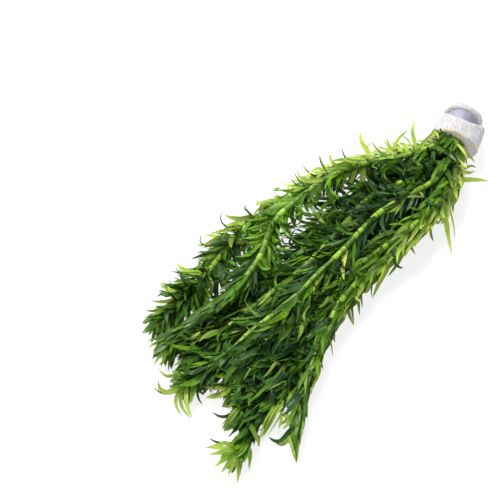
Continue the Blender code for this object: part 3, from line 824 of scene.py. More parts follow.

# How the leaves stand along each shoot: share of the length, degrees from the stem at the base, further
# degrees by the point, share of leaves that curl up, share of the full length, share of the full width,
# how light their green is (their own green with painted shade where a shoot lies low or deep in the bunch,
# painted light where it lies lit, and pale from 1), and the share of whorls that leave the stem's upper side
# bare.
manners = {
    "shoot_01": [
        (0.00, 75, 10, 0.00, 0.7, 0.9, 0.5, 0.0), (0.13, 34, 15, 0.08, 0.8, 0.8, 0.6, 0.9),
        (0.26, 34, 30, 0.15, 0.9, 0.8, 0.5, 0.9), (0.34, 38, 75, 0.35, 1.0, 0.8, 0.5, 0.9),
        (0.50, 34, 90, 0.45, 1.0, 0.8, 0.7, 0.7), (0.66, 28, 70, 0.40, 1.0, 0.9, 0.6, 0.6),
        (0.74, 22, 30, 0.15, 0.9, 1.0, 0.3, 0.4), (0.79, 5, 0, 0.00, 0.9, 1.4, 0.5, 0.0),
        (0.90, 4, 0, 0.00, 0.9, 1.3, 0.35, 0.0), (0.95, 16, 20, 0.03, 1.2, 1.2, 0.15, 0.0),
        (1.00, 28, 25, 0.00, 1.3, 1.4, 0.1, 0.0),
    ],
    "shoot_02": [
        (0.00, 75, 10, 0.00, 0.7, 0.9, 0.5, 0.0), (0.13, 50, 20, 0.12, 1.0, 0.8, 0.5, 0.8),
        (0.26, 42, 50, 0.25, 0.8, 0.8, 0.8, 0.9), (0.56, 40, 50, 0.30, 0.75, 0.8, 1.0, 0.8),
        (0.64, 46, 35, 0.20, 1.1, 0.9, 0.4, 0.3), (0.92, 44, 30, 0.12, 1.15, 1.1, 0.3, 0.3),
        (1.00, 28, 34, 0.05, 1.2, 1.3, 0.2, 0.0),
    ],
    "shoot_03": [
        (0.00, 75, 10, 0.00, 0.7, 0.9, 0.3, 0.0), (0.13, 42, 20, 0.12, 1.1, 0.9, 0.2, 0.85),
        (0.25, 44, 60, 0.30, 1.1, 0.8, 0.0, 0.85), (0.42, 44, 80, 0.38, 1.1, 0.8, 0.1, 0.85),
        (0.52, 42, 90, 0.40, 1.1, 0.8, 0.4, 0.8), (0.60, 24, 28, 0.15, 1.2, 0.95, 0.35, 0.95),
        (0.88, 18, 28, 0.12, 1.2, 1.0, 0.3, 0.85), (1.00, 28, 30, 0.05, 1.3, 1.4, 0.2, 0.0),
    ],
    "shoot_04": [
        (0.00, 75, 10, 0.00, 0.7, 0.9, 0.3, 0.0), (0.13, 42, 25, 0.15, 1.1, 0.9, 0.2, 0.9),
        (0.28, 28, 25, 0.12, 1.1, 0.9, 0.0, 0.9), (0.46, 24, 35, 0.20, 1.15, 0.9, 0.0, 0.9),
        (0.55, 18, 28, 0.14, 1.2, 0.95, 0.35, 1.0), (0.85, 16, 28, 0.10, 1.2, 1.0, 0.25, 0.9),
        (1.00, 28, 40, 0.10, 1.25, 1.3, 0.25, 0.0),
    ],
    "shoot_05": [
        (0.00, 75, 10, 0.00, 0.7, 0.9, 0.7, 0.0), (0.13, 28, 15, 0.08, 0.9, 0.9, 0.7, 0.9),
        (0.36, 28, 15, 0.10, 1.0, 0.9, 0.6, 0.95), (0.52, 20, 22, 0.12, 1.2, 0.95, 0.6, 1.0),
        (0.62, 16, 24, 0.12, 1.2, 0.95, 0.5, 1.0), (0.86, 16, 24, 0.10, 1.2, 0.95, 0.2, 0.9),
        (1.00, 24, 30, 0.05, 1.25, 1.3, 0.25, 0.0),
    ],
    "shoot_06": [
        (0.00, 75, 10, 0.00, 0.7, 0.9, 0.8, 0.0), (0.13, 28, 8, 0.06, 0.9, 0.9, 1.0, 0.7),
        (0.42, 24, 6, 0.06, 1.0, 0.9, 1.2, 0.7), (0.58, 18, 8, 0.04, 1.1, 0.8, 1.2, 0.8),
        (0.68, 14, 8, 0.03, 1.1, 0.8, 0.9, 0.8), (0.93, 13, 10, 0.03, 1.1, 0.9, 0.6, 0.3),
        (1.00, 8, 2, 0.00, 1.0, 0.9, 0.35, 0.0),
    ],
    "shoot_07": [
        (0.00, 75, 10, 0.00, 0.7, 1.0, 0.2, 0.0), (0.13, 60, 0, 0.06, 1.1, 1.2, 0.0, 0.2),
        (0.50, 48, 10, 0.10, 1.1, 1.0, 0.0, 0.1), (0.70, 24, 28, 0.14, 1.15, 0.95, 0.1, 0.5),
        (0.85, 18, 28, 0.10, 1.2, 0.95, 0.15, 0.5), (1.00, 24, 30, 0.05, 1.2, 1.15, 0.25, 0.0),
    ],
    "shoot_08": [
        (0.00, 75, 10, 0.00, 0.7, 1.0, 0.5, 0.0), (0.13, 34, 0, 0.06, 1.0, 1.0, 0.4, 0.2),
        (0.50, 28, 0, 0.06, 1.1, 1.0, 0.2, 0.1), (0.70, 24, 10, 0.06, 1.1, 0.9, 0.25, 0.1),
        (0.85, 18, 20, 0.08, 1.2, 0.9, 0.3, 0.5), (0.94, 18, 15, 0.05, 1.15, 1.3, 0.4, 0.3),
        (1.00, 24, 20, 0.05, 1.2, 1.6, 0.6, 0.0),
    ],
    "shoot_09": [
        (0.00, 75, 10, 0.00, 0.7, 1.0, 0.2, 0.0), (0.13, 64, 0, 0.06, 1.2, 1.2, 0.0, 0.0),
        (0.25, 64, 0, 0.05, 1.35, 1.5, 0.0, 0.0), (0.42, 60, 10, 0.05, 1.3, 1.5, 0.0, 0.0),
        (0.50, 44, 30, 0.20, 0.9, 0.8, 0.5, 0.5), (0.66, 44, 30, 0.20, 0.8, 0.8, 0.5, 0.5),
        (0.74, 40, 25, 0.12, 1.1, 0.9, 0.1, 0.1), (1.00, 28, 34, 0.05, 1.1, 1.0, 0.25, 0.0),
    ],
    "shoot_10": [
        (0.00, 75, 10, 0.00, 0.7, 1.0, 0.2, 0.0), (0.13, 64, 0, 0.06, 1.2, 1.2, 0.0, 0.0),
        (0.25, 66, 0, 0.10, 1.3, 1.35, 0.0, 0.0), (0.55, 54, 10, 0.15, 1.3, 1.2, 0.0, 0.0),
        (0.80, 30, 25, 0.10, 1.1, 0.8, 0.1, 0.3), (1.00, 24, 30, 0.05, 1.1, 1.0, 0.25, 0.0),
    ],
}

# Leaves placed one by one after the photo, each by its width in mm, how light its green is (its own green
# with painted shade in it), how pale it is (bleaching with painted backlight in it), the way its midrib runs
# from the stem to the point, and last, where it has one, its painted grey-blue sheen. The midrib's points
# are pixels across and down the photo, and a height in mm.
posed = {}
posed["shoot_01"] = [
    (2.4, 0.8, 0.7, (373.5, 161, 17), (366.6, 150, 19), (361.2, 141, 21), (360, 131.8, 22)),
    (1.3, 0.5, 0.3, (392, 156, 17), (382.6, 153.6, 17), (375, 146.7, 18.5), (371.2, 140.6, 20)),
    (1.1, 0.6, 0.5, (372, 158, 17), (367.3, 148.5, 18), (372, 140.6, 20)),
    (1.9, 0.9, 0.9, (416, 149, 17), (413.5, 138, 20), (412.5, 129, 23), (415.5, 117.3, 25)),
    (1.7, 0.9, 0.9, (392, 156, 17), (395, 145.2, 19), (400.2, 136.8, 21), (408.7, 129.5, 23)),
    (1.1, 0.6, 0.9, (413, 150, 17), (408.7, 141, 19), (398.7, 132.2, 21)),
    (1.3, 0.7, 0.9, (394, 156, 17), (388.8, 147, 18), (382.3, 139.1, 20)),
    (1.3, 0.5, 0.5, (397, 156, 17), (389.5, 145.5, 18.5), (386.5, 137.6, 20)),
    (1.7, 0.8, 0.9, (398, 156, 17), (388, 150, 17.5), (377.3, 146.7, 18)),
    (1.9, 0.8, 0.9, (402, 154, 17), (398, 146, 18.5), (391, 141, 19.5)),
    (2.1, 0.7, 0.8, (408, 152, 17), (404, 145, 18.5), (399, 143, 19)),
    (2.1, 0.8, 0.7, (417, 149, 17), (424, 143, 18), (433, 139, 18)),
    (1.1, 0.3, 0.1, (352, 163, 16.5), (344.4, 156, 17.5), (341.7, 146.7, 19)),
    (2.6, 0.6, 0.3, (362, 162, 16.8), (350, 159.5, 17), (331, 160.5, 17)),
    (2.6, 0.5, 0.2, (360, 164, 16.6), (346, 164, 16.8), (330, 167, 16.5)),
    (1.7, 0.5, 0.3, (340, 170, 16.4), (331.5, 160.5, 17.5), (329.5, 153.6, 18.5)),
    (1.1, 0.3, 0.1, (329, 176, 16.4), (321.4, 162.8, 17.5), (319.5, 154.4, 18.5)),
    (1.1, 0.1, 0.0, (334, 176, 16), (331, 186, 14), (331.4, 193, 12), (332.9, 203.3, 10)),
    (1.1, 0.1, 0.0, (348, 170, 16), (342, 180, 14), (341.3, 187, 12.5), (343.6, 200.3, 10)),
    (2.4, 0.9, 0.8, (356, 168, 16), (352, 178, 13), (349, 187, 11)),
    (2.1, 0.4, 0.2, (437, 147.5, 17.5), (448.5, 153.6, 17.5), (457.4, 161.9, 17)),
    (1.9, 0.5, 0.2, (252, 244, 14), (248, 246, 12), (241, 250.5, 9), (234, 255.4, 6)),
    (1.7, 0.3, 0.1, (449, 139, 15.5), (447, 133, 18), (440, 140, 18.3), (431, 149, 18.5)),
    (1.5, 0.2, 0.0, (450, 140, 15.5), (451, 134, 18), (446, 144, 18.5), (438, 156, 18)),
    (2.1, 0.7, 0.8, (446, 139, 15.5), (442.5, 130.5, 18), (436, 133.5, 18.3), (427, 138, 19)),
    (1.9, 0.5, 0.4, (446, 139, 15.5), (438, 130, 16), (431, 135, 17), (423, 141.5, 17)),
    (2.1, 0.5, 0.1, (412, 158, 15), (417, 162, 17), (421, 165.8, 17.5), (426, 168.4, 17)),
    (2.1, 0.8, 0.6, (441, 138, 15.5), (433.6, 129.8, 18), (437.4, 134.6, 19), (439.3, 140, 19.5)),
    (1.3, 0.5, 0.1, (449, 139, 16), (447.6, 136.5, 18.5), (442.5, 141.6, 19), (437.4, 145, 19)),
    (2.1, 0.7, 0.2, (425, 147, 16), (420.8, 149.2, 18), (415.7, 155.6, 18.5), (410.6, 163, 17.5)),
    (1.1, 0.8, 0.5, (430, 143, 17), (427.2, 141.2, 19), (422, 144, 19), (417, 148, 18)),
    (2.6, 0.6, 0.2, (353, 166, 18), (347.4, 167.3, 19), (338.5, 166.6, 19), (333, 164.7, 18.5)),
    (2.1, 0.9, 1.0, (343, 170, 16), (337.2, 168.5, 15), (331, 165.4, 14)),
    (1.9, 0.7, 0.5, (325, 178, 17), (320.6, 180, 18), (309, 181, 18), (299.6, 176.6, 18),
     (296.4, 168.3, 17)),
    (1.3, 0.3, 0.1, (310, 188, 17), (304.7, 184.8, 17.5), (299.6, 181, 17.5), (293.2, 171.5, 17)),
    (1.1, 0.1, 0.0, (308, 190, 17), (304, 187, 17), (296.4, 184.8, 17), (290, 177, 16)),
    (1.7, 0.8, 0.7, (308, 191, 16), (302.8, 188, 15.5), (296.4, 190, 15), (288, 193, 14)),
    (2.1, 0.9, 1.0, (346, 174, 16), (341, 182, 12), (335.9, 186.8, 9), (334, 191.6, 7)),
    (2.6, 0.5, 0.3, (364, 168, 16), (363, 176, 14), (361.4, 184.2, 12), (363.3, 189.4, 10)),
    (1.3, 0.5, 0.1, (333, 178, 16), (330.8, 187.4, 14), (329.5, 197, 12), (332, 205.3, 10)),
    (1.3, 0.1, 0.0, (329, 179, 16), (325.7, 186, 14), (323.8, 193.8, 12), (324.4, 198.9, 10)),
    (2.1, 0.9, 0.8, (324, 181, 16), (320.6, 185.2, 14), (320, 191.2, 12), (316.8, 199.5, 10)),
    (3.0, 0.3, 0.0, (318, 184, 17), (316.5, 188.5, 17.5), (312.3, 193.8, 17), (306, 198.6, 16)),
    (3.0, 0.3, 0.0, (309, 190, 17), (303.8, 191.4, 16), (304, 199, 14), (307.2, 205.3, 13),
     (307.9, 212.9, 12)),
    (2.6, 0.5, 0.1, (302, 197, 17), (299, 206.5, 15), (300.8, 216, 13), (299.6, 224.4, 11)),
    (2.6, 0.6, 0.1, (318, 196, 14), (311, 202.7, 14), (314.2, 210.4, 13.5), (317.8, 216.8, 13)),
    (2.1, 0.5, 0.1, (333, 199, 13), (325.9, 203.3, 14), (321.6, 209.6, 14), (318, 215.8, 13)),
    (1.7, 0.1, 0.2, (441, 139, 16), (438, 133, 18.5), (436, 129, 19.5), 0.2),
    (1.7, 0.1, 0.1, (443, 138, 16.5), (442, 132, 18.5), (440, 128, 20), 0.2),
    (1.5, 0.3, 0.3, (445, 138, 16.5), (446, 133, 18.5), (446.5, 130, 19), 0.1),
    (1.5, 0.2, 0.2, (448, 139, 16.5), (451, 135.5, 18), (452.5, 133.5, 18.5), 0.3),
    (1.7, 0.7, 0.6, (172, 340, 8), (160, 342, 7), (146.5, 347.8, 5)),
    (1.5, 0.3, 0.1, (172, 342, 8), (162, 350, 6), (150.5, 360, 4)),
    (1.9, 0.8, 0.7, (171, 343, 8), (162, 353, 6), (153.5, 365, 3.5)),
    (1.7, 0.7, 0.6, (171, 343, 8), (165, 355, 6), (160.5, 368.5, 3)),
    (1.5, 0.4, 0.2, (172, 343, 8), (170, 357, 6), (168, 371.5, 3)),
    (1.5, 0.5, 0.3, (173, 339, 8), (160, 338, 7.5), (146, 341, 6)),
]
posed["shoot_02"] = [
    (2.1, 0.7, 0.6, (328, 176, 8), (319.1, 168.2, 9.5), (311, 171.5, 9)),
    (1.1, 0.2, 0.1, (326, 176, 8), (313.8, 175.4, 9), (306.9, 170.4, 10), (302, 163.6, 11)),
    (2.4, 0.7, 0.6, (323, 178, 7), (311.5, 178.5, 8), (300, 176.6, 8.5)),
    (1.1, 0.1, 0.0, (253, 217, 8), (247.5, 211, 9), (244.7, 207.7, 10), (247.5, 203.5, 11)),
    (2.6, 0.5, 0.2, (250, 217.5, 8), (241, 219, 8), (230.7, 217.5, 8), (224.4, 214.7, 8)),
    (1.9, 0.8, 0.9, (241, 223, 7), (232, 223.9, 6), (224.4, 226, 5)),
    (0.9, 0.1, 0.0, (236, 231.5, 8), (228.6, 228, 8), (222.3, 223.2, 8.5), (220.2, 216, 9),
     (223.7, 211, 10)),
    (1.3, 0.8, 0.9, (229, 236, 6), (222.3, 230, 5.5), (219.5, 231.5, 5), (218.8, 236, 4)),
    (2.6, 0.9, 1.0, (227, 238, 7), (220, 237.9, 7), (213, 235.8, 7), (203, 234.7, 6)),
    (0.9, 0.1, 0.0, (224, 243, 6), (210, 246, 5), (203, 245, 5), (199.8, 239.3, 6), (203.3, 232.3, 7)),
    (3.0, 0.6, 0.4, (227, 236.5, 8), (216.7, 240, 8.5), (209.6, 242.5, 8), (203, 245.5, 7)),
    (1.7, 0.8, 0.9, (223, 244.5, 5), (214, 246.5, 4.5), (205, 245, 4)),
    (1.1, 0.2, 0.0, (221, 249, 6), (214.6, 249.8, 6), (206.8, 248.4, 6)),
    (1.9, 0.6, 0.6, (214, 256, 7), (204.7, 259, 6.5), (195.6, 259, 6)),
    (2.4, 0.9, 1.0, (198, 272, 7), (193.5, 272.3, 7), (185, 270, 7), (179.5, 266.7, 7), (176.7, 262.5, 7)),
    (1.3, 0.3, 0.2, (197, 275.8, 6), (192, 275.8, 6), (183.7, 275, 5.5), (178, 270.9, 5.5), (176, 266.7, 6)),
    (1.1, 0.1, 0.0, (192, 279, 6), (186.5, 279.3, 6), (179.5, 280, 6), (172.5, 275.8, 6)),
    (3.0, 0.9, 1.0, (188, 286, 6), (180.9, 288, 6), (171, 290.5, 6), (164, 287, 5.5), (159, 281.4, 5)),
    (1.7, 0.8, 0.8, (190, 282, 6), (182, 282.8, 6), (176.7, 282, 6), (172.5, 284, 6)),
    (1.5, 0.2, 0.0, (180, 295, 6), (167.5, 294, 6), (162, 293.3, 6), (156.3, 297.5, 5)),
    (2.1, 0.7, 0.5, (183, 293, 6), (172, 300, 5), (160, 302, 4), (150, 300, 3)),
    (1.9, 0.5, 0.2, (176, 300, 6), (165, 307, 5), (153, 311, 4), (145, 310, 3)),
    (1.7, 0.6, 0.5, (170, 306, 6), (160, 314, 5), (150, 320, 4), (143, 325, 3)),
    (1.9, 0.7, 0.7, (251, 219, 7), (254.6, 228, 5), (255.3, 235, 3)),
    (2.1, 0.9, 0.9, (230, 240, 6), (241.2, 242, 5), (246.8, 240.7, 4)),
    (1.7, 0.6, 0.3, (227, 245, 6), (231, 248, 5), (231.4, 253, 4)),
    (1.7, 0.5, 0.2, (222, 256, 7), (226.5, 262, 6), (227.9, 268.8, 5), (232.8, 280.7, 3)),
    (2.6, 0.1, 0.0, (217, 262, 7), (223, 270, 6), (221, 280, 5), (222.3, 290.5, 3)),
    (2.6, 0.1, 0.0, (214, 264, 7), (219, 272, 6), (217, 282, 5), (218.3, 290.5, 3)),
    (2.1, 0.5, 0.1, (212, 268, 6), (222, 280, 5), (228, 284, 4), (233.8, 284.2, 3)),
    (2.1, 0.7, 0.3, (205, 272, 7), (211, 283, 6), (211, 290.5, 5), (210.4, 297.5, 3)),
    (2.4, 0.3, 0.0, (206, 271, 7), (207, 281, 6), (203, 290.5, 5), (200.4, 298.5, 3)),
    (2.4, 0.4, 0.1, (200, 276, 7), (199, 286, 6), (194, 294.5, 5), (188.4, 300.5, 3)),
]
posed["shoot_03"] = [
    (2.4, 0.5, 0.2, (426, 173, 14), (424.5, 180, 15), (423, 189, 14), (420.4, 209.7, 8)),
    (2.1, 0.6, 0.1, (420, 174, 13), (409, 181, 14.5), (399, 187, 15), (391, 196, 14.5)),
    (2.1, 0.6, 0.1, (413, 180, 14), (410.6, 186.2, 16), (404.2, 192.6, 16), (398.5, 200.3, 15),
     (394.7, 207.3, 13)),
    (2.1, 0.6, 0.1, (428, 163, 17), (424.6, 165.8, 17.5), (412, 168.6, 17.5), (397.9, 172.2, 17)),
    (1.7, 0.2, 0.0, (424, 168, 16), (418.3, 169.6, 16.5), (410.6, 174, 16), (402.3, 174.7, 15)),
    (1.5, 0.5, 0.1, (368, 184, 12), (358, 185, 15), (348, 187, 15), (338, 193, 13)),
    (1.5, 0.2, 0.0, (370, 186, 12), (359, 189, 15.5), (349, 192, 15), (339, 199, 13)),
    (1.7, 0.3, 0.0, (371, 188, 12), (361, 193, 15), (352, 198, 15), (344, 206, 13), 0.3),
    (1.3, 0.9, 0.9, (272, 290, 14), (264.5, 299.4, 16.5), (257.5, 306, 16)),
    (2.1, 0.5, 0.0, (270, 297, 14), (265, 303, 15.5), (257, 311, 15)),
    (2.1, 0.6, 0.1, (295, 275, 14.5), (284, 283.5, 16), (274, 289, 15)),
]
posed["shoot_04"] = [
    (1.5, 0.3, 0.1, (456, 140, 15.5), (455, 137, 17.6), (451.5, 147, 18), (447, 159, 17.5)),
    (1.5, 0.3, 0.2, (452, 140, 15.5), (448, 131.5, 18.3), (443, 134, 19), (437, 140, 19.5)),
    (1.7, 0.5, 0.2, (436, 160, 17), (440.6, 165.8, 18), (439.3, 170.9, 18), (434.8, 174.7, 17),
     (429, 176, 16)),
    (1.1, 0.7, 0.4, (424, 196, 17), (418.3, 196.4, 18), (411.9, 195.8, 18.5), (405.5, 197.7, 18),
     (401, 199.6, 17)),
    (1.1, 0.7, 0.4, (405, 198, 17), (401.7, 204.7, 18), (397.2, 211, 18), (393.4, 217.5, 17)),
    (1.7, 0.6, 0.4, (402, 203, 17), (394.7, 209.2, 18), (383.8, 214.3, 17)),
    (1.3, 0.5, 0.1, (455, 141, 16), (453.3, 138, 18.5), (448.9, 142.9, 19), (443.8, 149.2, 19),
     (440.6, 153.4, 18.5)),
    (2.6, 0.5, 0.1, (458, 143, 15.5), (456, 139.7, 17.5), (456.5, 145, 18), (452.7, 151.2, 18)),
    (2.1, 0.6, 0.2, (445, 160, 17), (438, 168, 19), (433, 176, 18.5), (430, 186, 17)),
    (1.7, 0.3, 0.0, (446, 176, 14.5), (441, 183, 16.5), (439, 192, 16.5), (434, 201, 15)),
    (2.8, 0.3, 0.1, (309, 282, 16.5), (298, 286.5, 17.5), (289, 290.5, 18), (282, 294, 17), 1.0),
    (1.9, 0.3, 0.1, (297, 297, 16.5), (286, 304.5, 17.5), (276, 311, 17.5), (267, 315, 16), 0.9),
    (1.5, 0.7, 0.1, (298, 301, 16.5), (288, 308, 17.5), (279, 315.5, 17.5), (270, 320.5, 16), 0.2),
    (2.1, 0.9, 0.1, (286, 313, 16), (279, 318, 17.5), (269, 322.5, 17), (261, 325, 15)),
    (0.9, 0.4, 0.2, (272, 310, 17), (261, 316, 18), (249, 308.5, 18), (244, 297, 16), 0.6),
    (1.5, 0.7, 0.3, (254, 312, 14), (246, 309, 15.5), (240.3, 312, 14.5)),
    (1.7, 0.6, 0.5, (188, 383, 6), (176.4, 376, 6.5), (165.5, 375.7, 7), (157.5, 367.4, 8)),
    (2.6, 0.6, 0.1, (188, 384, 6), (178, 388, 7), (167.4, 392.5, 6.5), (160, 388.5, 6.5), (158.2, 380.8, 8)),
    (1.1, 0.1, 0.0, (187, 385, 5.5), (172, 393, 4), (161.7, 392.9, 2.5), (152.8, 387.2, 3)),
    (1.9, 0.5, 0.2, (187, 385, 6), (178, 393, 6), (175.7, 403.8, 4), (180.8, 415.3, 2)),
    (1.9, 0.5, 0.2, (187, 385, 6), (181, 395, 6), (182, 407, 4), (191, 418.4, 2)),
    (1.9, 0.8, 0.7, (187, 385, 6.5), (186, 397, 6), (188, 408, 4), (192.3, 417.8, 2)),
    (2.6, 0.7, 0.2, (197, 379, 7), (193, 391, 6.5), (190.5, 404.4, 4)),
    (1.3, 0.1, 0.0, (199, 378, 7), (197.4, 390, 6), (198.3, 398, 4), (202.8, 405, 2)),
    (2.1, 0.6, 0.1, (190, 382, 7), (183, 388, 8), (181, 394, 7)),
]
posed["shoot_05"] = [
    (1.3, 0.7, 0.6, (459, 152, 12), (467, 154.2, 11), (471.4, 158, 9), (475.3, 162.8, 7)),
    (1.5, 0.6, 0.3, (455, 170, 12), (464.4, 168.3, 10), (470.8, 165.7, 9), (476.5, 167.6, 8)),
    (1.7, 0.8, 0.8, (454, 173, 12), (464.4, 172.1, 9), (470.2, 172.7, 7), (475.9, 170.2, 6)),
    (2.4, 0.9, 0.8, (452, 179, 12), (463.1, 179.7, 9), (476.5, 179.7, 6), (489.9, 181, 4)),
    (1.5, 0.2, 0.0, (459, 144, 13.5), (459, 141, 15.8), (457, 152, 16.5), (452, 164, 15)),
    (1.5, 0.4, 0.2, (461, 147, 13), (462.5, 146, 14), (462, 157, 14.5), (459, 168, 12)),
    (1.7, 0.9, 0.8, (456, 168, 13), (460.4, 179.2, 11), (456.5, 188.8, 9), (453.3, 201.5, 7),
     (454, 214.3, 5)),
    (1.7, 0.9, 0.7, (454, 176, 13), (459.7, 178, 12), (462.3, 184.3, 10), (458.4, 188.8, 8)),
    (2.1, 0.9, 0.6, (452, 178, 14), (455.3, 182, 14), (452, 192, 13), (448.9, 204.7, 10), (450.2, 214.3, 7)),
    (2.1, 0.9, 0.9, (440, 199, 14), (443.8, 203, 12), (447, 209.8, 10), (444.4, 218.7, 8)),
    (1.7, 0.7, 0.4, (433, 204, 14), (434.8, 206, 13), (437.4, 211.8, 12), (440.6, 220.7, 9)),
    (2.1, 0.7, 0.2, (442, 186, 14.5), (436, 192, 17), (428, 199, 17), (419, 205, 16)),
    (2.1, 0.6, 0.2, (430, 207, 14.5), (424, 212, 17), (414, 216, 17), (404, 221, 15)),
    (2.1, 0.7, 0.3, (414, 222, 14.5), (408, 224, 17), (398, 232, 16.5), (390, 241, 14)),
    (2.1, 0.7, 0.4, (354, 272, 13), (355.5, 288, 11), (358.3, 302, 7), (359.4, 315.5, 4)),
    (1.6, 0.1, 0.0, (395, 245, 14), (393.4, 258, 13), (397, 265, 10), (401, 267.8, 8), (403.5, 267, 7)),
    (1.9, 0.8, 0.5, (407, 234, 12), (409, 242, 10), (412, 249, 8), (415.7, 254.7, 6)),
    (2.1, 0.2, 0.0, (418, 222, 13), (419.5, 231, 11), (418.7, 239.7, 9)),
    (1.9, 0.6, 0.2, (392, 231, 15.5), (377, 237.6, 17), (368, 244.6, 17.5), (360.8, 251.7, 16.5), 0.6),
    (1.3, 0.6, 0.3, (405, 236, 15), (394, 245.4, 16), (387, 253.8, 15), (385, 262.2, 13)),
    (2.1, 0.6, 0.1, (275, 322, 16), (261, 324.5, 17), (251, 323, 16.5), (245, 327, 15), 0.4),
    (1.1, 0.8, 0.3, (273, 326, 16), (263, 329.5, 17), (252, 331, 16.5), (244.5, 325, 15)),
    (2.1, 0.0, 0.0, (287, 323, 15), (276, 331, 16), (263, 335, 16), (253.5, 338.5, 15)),
    (0.8, 0.5, 0.2, (309, 306, 17), (304.3, 313, 18), (304.3, 320, 18), (307.3, 327, 17), 0.5),
    (2.1, 0.3, 0.0, (266, 330, 15), (254, 337, 16.5), (248, 341, 15), 0.9),
    (2.1, 0.2, 0.1, (255, 342, 14), (243, 347, 15.5), (233, 348, 15), (229.8, 342.6, 14), 0.5),
    (2.4, 0.3, 0.1, (257, 349, 14), (246, 356.5, 15.5), (232, 363, 14), 1.0),
    (1.3, 0.7, 0.6, (226, 389, 9), (214, 388.5, 8), (203.5, 387, 6)),
    (1.4, 0.7, 0.6, (224, 394, 9), (214, 397.5, 7), (204.8, 397.8, 5)),
    (0.7, 0.5, 0.3, (250, 368, 12), (247, 374, 13.5), (242, 382, 13), 0.4),
    (2.6, 0.1, 0.0, (247, 357, 13), (239, 361, 14.5), (230, 364.5, 13), 1.0),
    (2.6, 0.4, 0.1, (237, 365, 12), (227.5, 375, 13.5), (224, 386, 12), 0.6),
    (1.7, 0.7, 0.5, (229, 388, 7), (216.5, 387.5, 7), (204, 387, 6)),
    (1.9, 0.8, 0.5, (229, 389, 7), (219, 394, 6), (212, 395.5, 5), (205, 398.3, 4)),
    (1.9, 0.7, 0.4, (230, 389, 7), (228, 398, 6), (224.8, 403.8, 4), (222, 407.6, 2.5)),
    (1.7, 0.7, 0.5, (230, 389, 7), (233, 397, 5), (231, 405, 3)),
]
